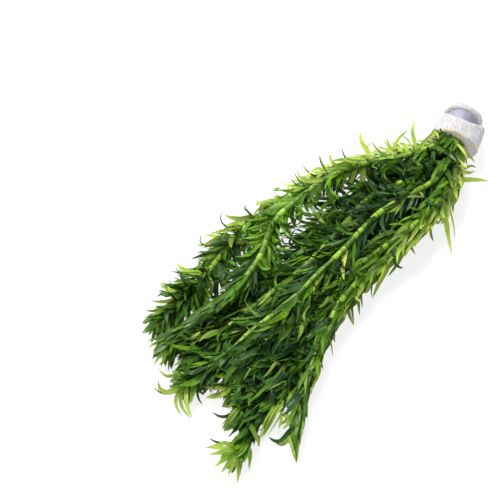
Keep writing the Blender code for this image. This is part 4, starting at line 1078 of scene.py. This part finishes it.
posed["shoot_06"] = [
    (2.6, 0.8, 0.9, (440, 211, 11), (446, 222, 7), (447.7, 233, 4), (452.3, 256.5, 1.5)),
    (0.9, 0.8, 0.9, (447, 198, 11), (451.2, 214, 7), (454, 228, 4), (455, 240, 2)),
    (1.1, 0.6, 0.9, (432, 222, 9), (430.5, 234, 4), (433.7, 242.1, 2)),
    (2.1, 0.8, 0.6, (411, 230, 10), (408.4, 237, 7), (408.7, 244.4, 4), (415.6, 254.8, 2)),
    (2.1, 0.3, 0.0, (420, 220, 9), (421, 229, 6), (418.5, 239.8, 4)),
    (1.5, 0.1, 0.0, (397, 246, 9), (393, 253, 7), (392.6, 260.5, 4), (399.5, 267.4, 2.5), (403, 267, 2)),
    (2.8, 0.5, 0.3, (407, 240, 9), (404.5, 248, 7), (397.8, 262.8, 3)),
    (1.7, 0.7, 0.7, (398, 254, 8), (396, 265, 4), (387.5, 276, 2)),
    (2.1, 0.8, 0.6, (393, 250, 9), (389.8, 259.4, 6), (383.4, 273.1, 4), (380, 281.8, 2)),
    (2.1, 0.6, 0.4, (376, 266, 9), (372, 277, 6), (371.5, 298, 2)),
    (1.9, 0.6, 0.5, (357, 284, 9), (358, 298, 5), (360, 315, 2)),
    (1.7, 0.5, 0.3, (350, 290, 9), (352, 308, 5), (354, 326, 2)),
    (1.7, 0.5, 0.3, (335, 315, 9), (334, 328, 5), (335, 342, 2)),
    (1.1, 0.4, 0.3, (318, 352, 7), (321, 360, 3), (321, 369, 1.5)),
    (2.4, 0.9, 0.6, (392, 258, 10), (385, 272, 8), (378, 285, 5), (372, 298.7, 3)),
    (1.8, 0.8, 0.5, (346, 300, 10), (347.8, 309, 8), (350, 317, 6), (354, 326, 4)),
    (2.4, 0.8, 0.4, (409, 236, 12), (403, 251, 10), (397, 264, 7), (388.5, 276.3, 4)),
    (1.1, 0.5, 0.3, (430, 224, 10), (431, 232, 8), (433.6, 242, 5)),
    (1.3, 0.5, 0.2, (388, 255, 15), (381, 259, 15.5), (374, 263, 15)),
    (2.1, 0.7, 0.3, (377, 270, 11), (372, 279, 9), (366, 288, 7), (362.5, 292.5, 6)),
    (2.4, 0.6, 0.2, (391, 252, 12), (386, 262, 10), (379, 274, 8)),
    (0.9, 0.6, 0.4, (329, 338, 9), (331.5, 346, 7), (332.8, 357, 4)),
    (0.9, 0.2, 0.0, (320, 354, 9), (321.5, 362, 7), (323, 370, 4)),
    (0.9, 0.3, 0.1, (331, 332, 10), (333, 338, 8), (335.6, 343, 6)),
    (1.5, 0.7, 0.3, (319.5, 366, 9), (318, 376, 8), (313.5, 385, 8), (309.5, 396, 7)),
    (2.1, 0.1, 0.0, (328, 319, 14), (316, 328, 15.5), (304, 337.5, 14.5), 1.0),
    (1.5, 0.4, 0.0, (327, 323, 13.5), (316.5, 332.5, 15), (306.5, 341.5, 14), 0.5),
    (1.7, 0.5, 0.3, (329, 298, 16), (324, 304, 16.5), (318, 308, 15.5), 0.3),
    (2.6, 0.2, 0.1, (318, 343, 13), (310, 355, 14), (304, 362, 13), 0.8),
    (2.1, 0.6, 0.2, (309, 370, 13), (302.5, 379, 14), (297, 384, 13), 0.5),
    (1.5, 0.7, 0.3, (306, 372, 13), (305.4, 384, 13), (305, 397, 12)),
    (0.9, 1.0, 0.7, (286, 405, 7), (280, 416, 8), (274, 426, 7), (266, 438, 5)),
    (1.9, 0.1, 0.0, (301, 396, 13), (290, 409.5, 14), (280, 416.5, 12.5), 0.6),
    (1.7, 0.1, 0.0, (297, 394, 12.5), (287, 404.5, 14), (278.5, 412.8, 12), 0.8),
    (1.4, 0.5, 0.2, (289, 436, 8), (293, 450, 7), (296.2, 463, 5)),
    (1.0, 0.3, 0.0, (294, 436, 9), (296, 450, 7.5), (296.6, 464, 5)),
    (1.2, 0.4, 0.1, (304, 402, 9), (304, 412, 9), (303, 421, 8), (301, 430, 6), 0.3),
    (1.0, 0.4, 0.2, (301, 410, 10), (299, 420, 10), (298, 430, 9), (297.5, 440, 6)),
    (1.2, 0.2, 0.0, (299, 412, 10), (295, 421, 10.5), (292, 429, 9.5), (290, 437, 7), 0.6),
    (0.9, 0.4, 0.3, (303, 420, 8), (302, 431, 8), (300, 441, 7), (298, 450, 5)),
    (1.1, 0.4, 0.0, (298, 424, 9), (295, 434, 9), (294, 443, 8), (294.5, 452, 6), 0.3),
    (1.7, 0.8, 0.7, (283, 415, 8), (281, 422, 7), (278.5, 429, 5)),
    (1.5, 0.8, 0.6, (289, 417, 8), (288, 424, 7), (282, 428.5, 6)),
    (1.7, 0.9, 0.3, (293, 392, 12), (289, 399, 12.5), (284.5, 405, 12)),
    (2.1, 0.1, 0.0, (296, 425, 6), (289, 431.5, 6), (281, 440.6, 5), (274, 440.6, 4.5), (268, 436.4, 5)),
    (1.9, 0.6, 0.2, (296, 430, 6), (289.5, 438.7, 5), (282.5, 444.5, 3.5), (275, 443, 3)),
    (2.1, 0.8, 0.7, (299, 408, 5), (290, 417, 4), (279, 426, 3)),
    (2.1, 0.8, 0.8, (297, 417, 5), (290, 422, 4), (283, 429, 3)),
    (1.9, 0.6, 0.3, (297, 440, 5.5), (297, 450, 4.5), (296.5, 463.5, 2)),
    (1.7, 0.5, 0.2, (297, 436, 5.5), (293, 447, 4.5), (295, 460, 2)),
]
posed["shoot_07"] = [
    (2.1, 0.5, 0.3, (303, 324, 16), (300.5, 333, 16.5), (297.5, 340, 15.5), 0.3),
    (1.9, 0.6, 0.4, (236, 398, 9), (231, 406, 8), (221, 406.5, 6)),
    (1.4, 0.5, 0.1, (240, 408, 12), (231, 420, 11.5), (222, 431.5, 8), 0.3),
    (1.1, 0.8, 0.3, (237, 408, 12), (228, 418, 11), (219.5, 427.5, 8)),
    (1.1, 0.3, 0.0, (243, 411, 12), (235, 423, 11.5), (226, 433, 8)),
    (1.7, 0.5, 0.2, (285, 366, 13), (275, 378, 14.5), (264.5, 387.5, 13), 0.5),
    (1.5, 0.6, 0.5, (277, 362, 13), (270, 370, 14.5), (264, 377, 13), 0.2),
    (2.4, 0.0, 0.0, (285, 371, 14), (276, 381, 15), (266.5, 391.5, 14)),
    (1.7, 0.1, 0.0, (243, 408, 7), (234.4, 412.5, 6), (226, 416.5, 5), (218.4, 415.9, 4.5), (212, 411.4, 5)),
    (1.9, 0.6, 0.3, (238, 413, 6), (229.3, 420.4, 5), (221, 430, 3)),
]
posed["shoot_08"] = [
    (1.3, 0.6, 0.3, (360, 290, 8), (361.4, 299, 6), (362.6, 308.5, 4)),
    (1.9, 0.8, 0.8, (226, 443, 10), (215, 446, 8), (205.4, 447.6, 5)),
    (1.7, 0.8, 0.7, (227, 450, 10), (218, 452.5, 8), (209.6, 454, 5)),
    (1.4, 0.9, 0.5, (283, 401, 8), (277, 412, 10), (271, 424, 9), (262, 439.5, 6)),
    (1.1, 0.9, 0.3, (280, 402, 9), (272, 414, 11), (266, 427, 10), (259, 441, 7)),
    (1.1, 0.7, 0.1, (274, 406, 10), (266, 419, 12), (262, 430, 11), (258.5, 444, 8)),
    (2.1, 0.6, 0.1, (250, 425, 12), (256, 436, 11), (259.8, 447, 8), 0.3),
    (0.8, 0.6, 0.3, (286, 381, 15), (277, 385, 16), (265, 391.6, 15), 0.4),
    (1.3, 0.1, 0.0, (245, 437, 6), (233, 443, 5), (222, 443, 4), (214, 441, 4), (209, 437.5, 5)),
    (2.4, 0.9, 0.9, (240, 448, 6), (229, 449, 5), (218, 447.5, 4), (205, 447, 3)),
    (2.1, 0.9, 0.9, (240, 449, 6), (229, 452, 5), (219, 453, 4), (209, 454.5, 3)),
    (2.4, 0.9, 0.8, (239, 450, 6), (230, 456, 5), (222, 461, 4), (214, 467.5, 2.5)),
    (2.1, 0.9, 0.9, (239, 450, 6), (232, 459, 5), (226, 466, 3.5), (221, 473.5, 2)),
    (2.1, 0.8, 0.8, (239, 450, 6), (235, 460, 5), (231, 468, 3), (228, 475.5, 2)),
    (2.6, 0.7, 0.5, (239, 450, 6), (240, 460, 5), (239, 470, 3), (237, 484, 1.5)),
    (2.1, 0.8, 0.6, (243, 443, 6), (250, 452, 4), (249, 470, 2)),
    (1.9, 0.7, 0.5, (248, 434, 6), (258, 437, 4), (258.5, 447, 2)),
    (2.6, 0.9, 0.8, (272, 400, 6), (273, 414, 4.5), (267, 427, 3), (261, 437.5, 2)),
    (2.1, 0.8, 0.7, (266, 408, 6), (270, 420, 4), (266, 431, 2.5)),
]
posed["shoot_09"] = [
    (1.7, 0.6, 0.2, (316, 213, 12), (320.6, 219.3, 13.5), (325.7, 223, 13.5), (331.8, 220.8, 13)),
]

# How far the leaves reach all round in the photo, in its pixels. Only posed leaves stand out past it.
outlinePixels = [
    (447, 124), (434, 128), (424, 137), (408, 139), (388, 145), (367, 149), (350, 155), (333, 159),
    (315, 167), (298, 174), (280, 184), (262, 196), (246, 208), (228, 220), (206, 234), (190, 248),
    (177, 262), (164, 279), (151, 297), (142, 315), (139, 331), (146, 347), (151, 361), (158, 369),
    (166, 374), (168, 392), (176, 408), (187, 412), (200, 397), (216, 397), (226, 409), (219, 427),
    (209, 440), (209, 450), (218, 466), (237, 480), (246, 467), (253, 464), (256, 452), (267, 431),
    (273, 420), (279, 412), (284, 424), (287, 446), (296, 462), (302, 443), (307, 423), (310, 403),
    (316, 383), (321, 363), (328, 344), (335, 332), (344, 319), (354, 310), (364, 297), (377, 284),
    (387, 271), (400, 262), (414, 247), (427, 234), (438, 225), (448, 224), (455, 212), (459, 200),
    (464, 184), (467, 170), (467, 150), (455, 133),
]
outlineHeight = 5.0 * mm   # the plane that it is laid on, along the photo's line of sight
outline = [photoPlace(*pixel, outlineHeight / mm)[:2] for pixel in outlinePixels]


# One blade, closed at its edges: x runs across from -1 to 1, y from base 0 to point 1, and z is 1 on the
# middle of its upper face and -1 under it
def leafTemplate():
    shape = bmesh.new()
    bmesh.ops.create_grid(shape, x_segments=2, y_segments=leaf["stations"], size=1.0)
    for vert in shape.verts:
        vert.co.y = (vert.co.y + 1) / 2
    upper = shape.faces[:]
    under = bmesh.ops.duplicate(shape, geom=upper)["geom"]
    underFaces = [part for part in under if isinstance(part, bmesh.types.BMFace)]
    underVerts = [part for part in under if isinstance(part, bmesh.types.BMVert)]
    bmesh.ops.reverse_faces(shape, faces=underFaces)
    for vert in shape.verts:
        middle = abs(vert.co.x) < 0.5 and 0.001 < vert.co.y < 0.999
        vert.co.z = 1.0 if middle else 0.0
    for vert in underVerts:
        vert.co.z = -vert.co.z
    bmesh.ops.remove_doubles(shape, verts=shape.verts[:], dist=0.001)
    point = [vert for vert in shape.verts if vert.co.y > 0.999]
    bmesh.ops.pointmerge(shape, verts=point, merge_co=(0, 1, 0))
    uvMap = shape.loops.layers.uv.new("leafMap")
    for face in shape.faces:
        for loop in face.loops:
            loop[uvMap].uv = (loop.vert.co.x / 2 + 0.5, loop.vert.co.y)
    for edge in shape.edges:
        edge.smooth = not all(abs(vert.co.z) < 0.5 for vert in edge.verts)
    mesh = bpy.data.meshes.new("leafTemplate")
    shape.to_mesh(mesh)
    shape.free()
    return mesh


# One stem, and the mesh that it and its leaves grow into
class Shoot:
    def __init__(self, name, points, draw):
        self.name = name
        self.route = Route(points)
        self.draw = draw
        self.shape = bmesh.new()
        self.uvMap = self.shape.loops.layers.uv.new("leafMap")
        self.tone = self.shape.verts.layers.float_color.new("leafTone")
        self.nodes = self.whorls()

    def radius(self, distance):
        free = clamp((distance - stem["held"]) / stem["freed"])
        radii = stem["sleeved"] if self.name == "shoot_01" else stem["radii"]
        full = stopsAt(radii, distance / self.route.length)[0] * mm
        return stem["heldRadius"] + (full - stem["heldRadius"]) * free

    def whorls(self):
        found = []
        distance = leaf["firstWhorl"] + self.draw.uniform(*chance["firstWhorl"]) * mm
        while distance < self.route.length - stem["tipEnd"]:
            found.append(distance)
            step = stopsAt(leaf["spacing"], distance / self.route.length)[0] * mm
            if self.name in leaf["under"]:
                step *= leaf["closer"]
            distance += step * self.draw.uniform(*chance["spacing"])
        return found

    # Grows the stem to here, and paints the new ring
    def ring(self, distance, radius, mark, shade):
        place = self.route.frame(distance) @ Matrix.Scale(radius, 4)
        if self.rim is None:
            made = bmesh.ops.create_circle(
                self.shape, cap_ends=True, segments=stem["sides"], radius=1.0, matrix=place
            )
            verts = made["verts"]
            self.rim = list({edge for vert in verts for edge in vert.link_edges})
        else:
            grown = bmesh.ops.extrude_edge_only(self.shape, edges=self.rim)["geom"]
            verts = [part for part in grown if isinstance(part, bmesh.types.BMVert)]
            self.rim = [
                part for part in grown
                if isinstance(part, bmesh.types.BMEdge) and all(vert in verts for vert in part.verts)
            ]
            bmesh.ops.transform(self.shape, matrix=place @ self.rimPlace.inverted(), verts=verts)
        self.rimPlace = place
        for vert in verts:
            vert[self.tone] = (shade, distance / self.route.length, mark, 1.0)

    def buildStem(self):
        self.rim = None
        shade = self.draw.random() ** stem["lightPower"]
        line, last = stem["nodeLine"], stem["cutEdge"]
        self.ring(0.0, self.radius(0) * 0.94, 0.6, shade)
        self.ring(last, self.radius(0), 0.3, shade)
        for distance in self.nodes:
            if distance - last < stem["nodesApart"]:
                continue
            radius = self.radius(distance)
            steps = max(1, round((distance - last) / stem["ringsApart"]))
            for i in range(1, steps):
                self.ring(last + (distance - 2 * line - last) * i / steps, radius, 0.0, shade)
            for lines, bulge, mark in stem["nodeRings"]:
                if lines == 0:
                    shade = self.draw.random() ** stem["lightPower"]
                self.ring(distance + lines * line, radius + bulge * stem["nodeBulge"], mark, shade)
            last = distance + line
        end = self.route.length
        self.ring(end - stem["tipRound"], self.radius(end) * 0.8, 0.0, shade)
        self.ring(end, self.radius(end) * 0.3, 0.0, shade)
        bmesh.ops.contextual_create(self.shape, geom=self.rim)
        bmesh.ops.recalc_face_normals(self.shape, faces=self.shape.faces[:])
        for face in self.shape.faces:
            face.material_index = 1
            for loop in face.loops:
                loop[self.uvMap].uv = (0.5, 0.5)


# What leaves keep out of: the stems, the wrap's foam and the floor
class Surroundings:
    def __init__(self, shoots):
        self.places = []
        for shoot in shoots:
            distance = 0.0
            while distance < shoot.route.length:
                self.places.append((shoot.route.frame(distance).translation, shoot.radius(distance)))
                distance += stem["guardStep"]
        self.tree = treeOf([place for place, _ in self.places])

    def cleared(self, place, last, room):
        found, i, distance = self.tree.find(place)
        radius = self.places[i][1] + room
        if distance < radius:
            place = found + (place - found).normalized() * radius
        x, z, out = roundAxis(place)
        flare = clamp(1 - (place.y - collar["lipFront"]) / collar["mouthDepth"])
        most = collar["hole"] + (collar["mouth"] - collar["hole"]) * flare - leaf["foamGap"]
        if place.y > collar["lipFront"] - leaf["foamGap"] and out > most:
            if last.y > collar["lipFront"]:
                place = Vector((x * most / out, place.y, collar["axisHeight"] + z * most / out))
            else:
                place.y = collar["lipFront"] - leaf["foamGap"]
        place.z = max(place.z, leaf["floorGap"])
        return place


# One leaf: the path of its midrib and what it looks like along that
class Blade:
    # the way that the midrib runs at a station
    def ahead(self, i):
        before, after = self.centers[max(i - 1, 0)], self.centers[min(i + 1, leaf["stations"])]
        return (after - before).normalized()

    def build(self, template, crowd):
        shape = self.shoot.shape
        start = len(shape.verts)
        shape.from_mesh(template)
        shape.verts.ensure_lookup_table()
        stations = leaf["stations"]
        lossBelow, lossAbove = leaf["backlightLoss"]
        tones = []
        for center in self.centers:
            under = crowd.share(center, -leaf["below"])
            # painted shade: a leaf is painted darker, and less pale, where other leaves lie above it
            over = crowd.share(center, leaf["below"])
            # painted backlight: leaves near the outline are painted paler, as if the floor shone through
            # them
            backlight = edgeShare(center) * (1 - lossBelow * under) * (1 - lossAbove * over) * self.backlitShare
            pale = max(self.pale * (1 - leaf["paintedShadeOnPale"] * over), backlight)
            tones.append((self.shade * (1 - leaf["paintedShade"] * over), pale))
        for vert in shape.verts[start:]:
            x, y, z = vert.co
            i = min(int(y * stations + 0.5), stations)
            widened = min(1.0, leaf["baseWidth"] + leaf["widening"] * y)
            half = self.width / 2 * widened * max(1 - y ** self.taper, 0.0) ** 0.9
            height = z * leaf["thickness"] / 2 * (1 - 0.6 * y) + self.fold * abs(x) * half
            height += leaf["ripple"] * self.loose * math.sin(self.wave + 11 * y + 1.5 * x) * abs(x)
            spot = self.centers[i] + self.sides[i] * x * half + self.normals[i] * height
            spot.z = max(spot.z, leaf["edgeGap"])
            vert.co = spot
            shade, pale = tones[i]
            vert[self.shoot.tone] = (shade, self.youth, pale, self.paintedSheen)


# A leaf that grows by rule
class GrownBlade(Blade):
    def __init__(self, shoot, around, distance, angle, manner, youth):
        draw = shoot.draw
        spread, recurve, curled, long, wide, light, _ = manner
        self.shoot = shoot
        self.youth = youth
        # leaves pressed to the stem lie and look more alike than those that stand off it
        self.loose = clamp((spread - leaf["pressed"]) / leaf["loosened"], 0.1)
        # light above 1 is painted light: the leaf is painted paler
        self.pale = max(light - 1.0, 0.0)
        if draw.random() < chance["bleached"] * self.loose:
            self.pale = draw.uniform(*chance["pale"])
        self.shade = clamp(light + draw.uniform(*chance["shade"]) * min(0.3 + self.loose, 1.0))
        near = 1 - clamp((shoot.route.length - distance) / leaf["brushLength"])
        full = leaf["length"] + (leaf["tipLength"] - leaf["length"]) * near ** 1.5
        length = full * long * draw.uniform(*chance["length"])
        self.width = leaf["width"] * wide * draw.uniform(*chance["width"])
        self.taper = draw.uniform(*chance["taper"])
        # how much painted backlight this leaf takes at the outline
        self.backlitShare = self.loose ** 1.5 * stopsAt(leaf["backlitShare"], distance / shoot.route.length)[0]
        # some loose leaves get a painted grey-blue sheen
        self.paintedSheen = 0.0
        if draw.random() < chance["sheenShare"] * self.loose:
            self.paintedSheen = draw.uniform(*chance["paintedSheen"])
        fold = leaf["fold"] * draw.uniform(*chance["fold"])
        self.fold = leaf["wrapped"] + (fold - leaf["wrapped"]) * min(2 * self.loose, 1.0)
        self.wave = draw.uniform(*anyTurn)
        spread = spread * draw.uniform(*chance["spread"])
        recurve = recurve * draw.uniform(*chance["recurve"])
        recurve += draw.gauss(0, chance["recurveMore"]) * self.loose
        if draw.random() < curled:
            recurve += draw.uniform(*chance["curl"])
        for _ in range(leaf["tries"]):
            self.trace(around, distance, angle, length, spread, recurve)
            self.inside = all(withinOutline(center) for center in self.centers[2::3])
            if self.inside:
                break
            spread, recurve, length = (
                was * share for was, share in zip((spread, recurve, length), leaf["bentIn"])
            )

    def trace(self, around, distance, angle, length, spread, recurve):
        draw = self.shoot.draw
        here = self.shoot.route.frame(distance)
        tangent = here.col[2].to_3d()
        outward = (here.col[0] * math.cos(angle) + here.col[1] * math.sin(angle)).to_3d()
        side = tangent.cross(outward)
        sweep = math.radians(draw.gauss(0, chance["sweep"])) * self.loose
        droop = leaf["droop"] * draw.uniform(*chance["droop"]) * self.loose
        start, sway = draw.uniform(*anyTurn), draw.uniform(*chance["sway"]) * self.loose
        bow = draw.gauss(0, chance["bow"]) * self.loose
        stations = leaf["stations"]
        liftLoose, liftPressed = leaf["lift"]
        lift = liftPressed * (1 - self.loose) ** 2
        self.centers = [here.translation + outward * self.shoot.radius(distance) * leaf["rootDepth"]]
        for i in range(stations):
            t = (i + 0.5) / stations
            bend = math.radians(spread + recurve * t ** 1.3)
            heading = tangent * math.cos(bend) + outward * math.sin(bend)
            heading += side * (math.sin(sweep) + bow * (t - 0.3) + sway * math.sin(start + 5 * t) * t)
            heading.z -= droop * t
            last = self.centers[-1]
            place = last + heading.normalized() * length / stations
            room = liftLoose + lift * min(3 * t, 1) if i else 0.0
            self.centers.append(around.cleared(place, last, room))
        settle = draw.uniform(*chance["settle"]) * self.loose
        twist = math.radians(draw.gauss(0, chance["twist"])) * self.loose / stations
        self.sides, self.normals = [], []
        across = side
        for i in range(stations + 1):
            ahead = self.ahead(i)
            level = ahead.cross(Vector((0, 0, 1)))
            if level.length > 0.2:
                level = level.normalized() if level.dot(across) >= 0 else -level.normalized()
                across = across.lerp(level, settle * leaf["level"])
            across = Matrix.Rotation(twist, 3, ahead) @ across
            across = (across - ahead * across.dot(ahead)).normalized()
            self.sides.append(across)
            self.normals.append(across.cross(ahead))


# A leaf that runs as the table of posed leaves says, turned flat to the photo's side
class PosedBlade(Blade):
    youth = 0.0
    taper = 2.8
    fold = 0.2
    loose = 1.0
    steps = 9     # between two of its points
    light = 0.4   # leaves lighter than this get painted backlight at the outline
    # how much painted backlight posed leaves take at the outline
    backlight = 0.6

    def __init__(self, shoot, width, shade, pale, *points):
        # a row's last number, where it has one, is the leaf's painted sheen
        self.paintedSheen = 0.0
        if isinstance(points[-1], float):
            *points, self.paintedSheen = points
        self.shoot, self.width, self.shade, self.pale = shoot, width * mm, shade, pale
        self.backlitShare = self.backlight if shade > self.light else 0.0
        self.wave = shoot.draw.uniform(*anyTurn)
        points = [Vector(photoPlace(*point)) * mm for point in points]
        root = min(shoot.route.points, key=lambda place: (place - points[0]).length)
        if (root - points[0]).length > leaf["rootGap"]:
            points.insert(0, root)
        turns = [points[1] - points[0]]
        turns += [(after - before) / 2 for before, after in zip(points, points[2:])]
        turns.append(points[-1] - points[-2])
        curve = []
        for i in range(len(points) - 1):
            handles = points[i] + turns[i] / 3, points[i + 1] - turns[i + 1] / 3
            curve += interpolate_bezier(points[i], *handles, points[i + 1], self.steps)[bool(i):]
        stations = leaf["stations"]
        self.centers = [curve[round(i * (len(curve) - 1) / stations)] for i in range(stations + 1)]
        ways = [self.ahead(i) for i in range(stations + 1)]
        self.sides = [ahead.cross(shownSide()).normalized() for ahead in ways]
        self.normals = [side.cross(ahead) for side, ahead in zip(self.sides, ways)]


# Counts the leaves round a place
class Crowd:
    def __init__(self, blades):
        self.tree = treeOf([center for blade in blades for center in blade.centers[2::2]])

    def share(self, place, rise):
        found = self.tree.find_range(place + Vector((0, 0, rise)), leaf["nearby"])
        return clamp((len(found) - leaf["lonely"]) / leaf["crowded"])


def onOutlinePlane(place):
    sight = shownSide()
    return place - sight * (place.z - outlineHeight) / sight.z


def makeOutlineTree():
    steps = 8
    places = []
    for start, end in zip(outline, outline[1:] + outline[:1]):
        start, end = (Vector((*corner, outlineHeight / mm)) * mm for corner in (start, end))
        places += [start.lerp(end, i / steps) for i in range(steps)]
    return treeOf(places)


# Painted backlight: 1 on the outline, 0 from where the leaves aren't painted paler any more
def edgeShare(place):
    distance = outlineTree.find(onOutlinePlane(place))[2]
    return max(1 - distance / leaf["paleEdge"], 0.0)


def withinOutline(place):
    place = onOutlinePlane(place)
    x, y = place.x / mm, place.y / mm
    inside = False
    for (ax, ay), (bx, by) in zip(outline, outline[1:] + outline[:1]):
        if (ay > y) != (by > y) and x < ax + (bx - ax) * (y - ay) / (by - ay):
            inside = not inside
    return inside


# Where a wet shoot lies bare on top, its leaves have fallen to the flanks
def partedAngle(angle, draw):
    fromTop = (angle - math.pi / 2 + math.pi) % (2 * math.pi) - math.pi
    if abs(fromTop) < leaf["partedFrom"]:
        return math.pi / 2 + math.copysign(draw.uniform(*leaf["partedTo"]), fromTop)
    return angle


def dressShoot(shoot, around):
    draw = shoot.draw
    first = turn = draw.uniform(*anyTurn)
    blades = []
    for distance in shoot.nodes:
        number = draw.choice(leaf["perWhorl"]) + (shoot.name in leaf["under"])
        turn += math.pi / number + draw.uniform(*chance["whorlTurn"])
        youth = max(0.0, 1 - (shoot.route.length - distance) / leaf["youthLength"])
        manner = stopsAt(manners[shoot.name], distance / shoot.route.length)
        bare = 0.5 + noise.noise((distance / leaf["bareStretch"], 10 * first, 0)) < manner[-1]
        for i in range(number):
            angle = turn + 2 * math.pi * i / number + draw.gauss(0, chance["leafTurn"])
            if bare:
                angle = partedAngle(angle, draw)
            blades.append(GrownBlade(shoot, around, distance, angle, manner, youth))
    return [blade for blade in blades if blade.inside]


# Adds the posed leaves, and takes out the grown ones that would hide how they stand
def withPosed(shoots, grown):
    stood = {shoot.name: [PosedBlade(shoot, *row) for row in posed.get(shoot.name, [])] for shoot in shoots}
    tree = treeOf([center for blades in stood.values() for blade in blades for center in blade.centers[4:]])

    def isClear(blade):
        return all(tree.find(blade.centers[i])[2] >= leaf["apart"] for i in (5, -1))

    return {
        name: [blade for blade in blades if isClear(blade)] + stood[name]
        for name, blades in grown.items()
    }


def makeShoots(leafMaterial, stemMaterial):
    template = leafTemplate()
    draw = random.Random(leaf["seed"])
    shoots = [Shoot(name, points, random.Random(draw.random())) for name, points in routes.items()]
    around = Surroundings(shoots)
    blades = withPosed(shoots, {shoot.name: dressShoot(shoot, around) for shoot in shoots})
    crowd = Crowd([blade for grown in blades.values() for blade in grown])
    for shoot in shoots:
        shoot.buildStem()
        for blade in blades[shoot.name]:
            blade.build(template, crowd)
        piece = makePiece(shoot.name + "_leafy", shoot.shape, leafMaterial, stemMaterial)
        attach(piece, "root")
        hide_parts(shoot.name)
        print(shoot.name, len(blades[shoot.name]), "leaves", len(piece.data.polygons), "faces")
    bpy.data.meshes.remove(template)


outlineTree = makeOutlineTree()
makeCamera()
makeStudio()
print("camera and studio ready")
makeFoamWrap(foamFinish())
makeLeadStrip(leadFinish())
makeShoots(leafFinish(), stemFinish())
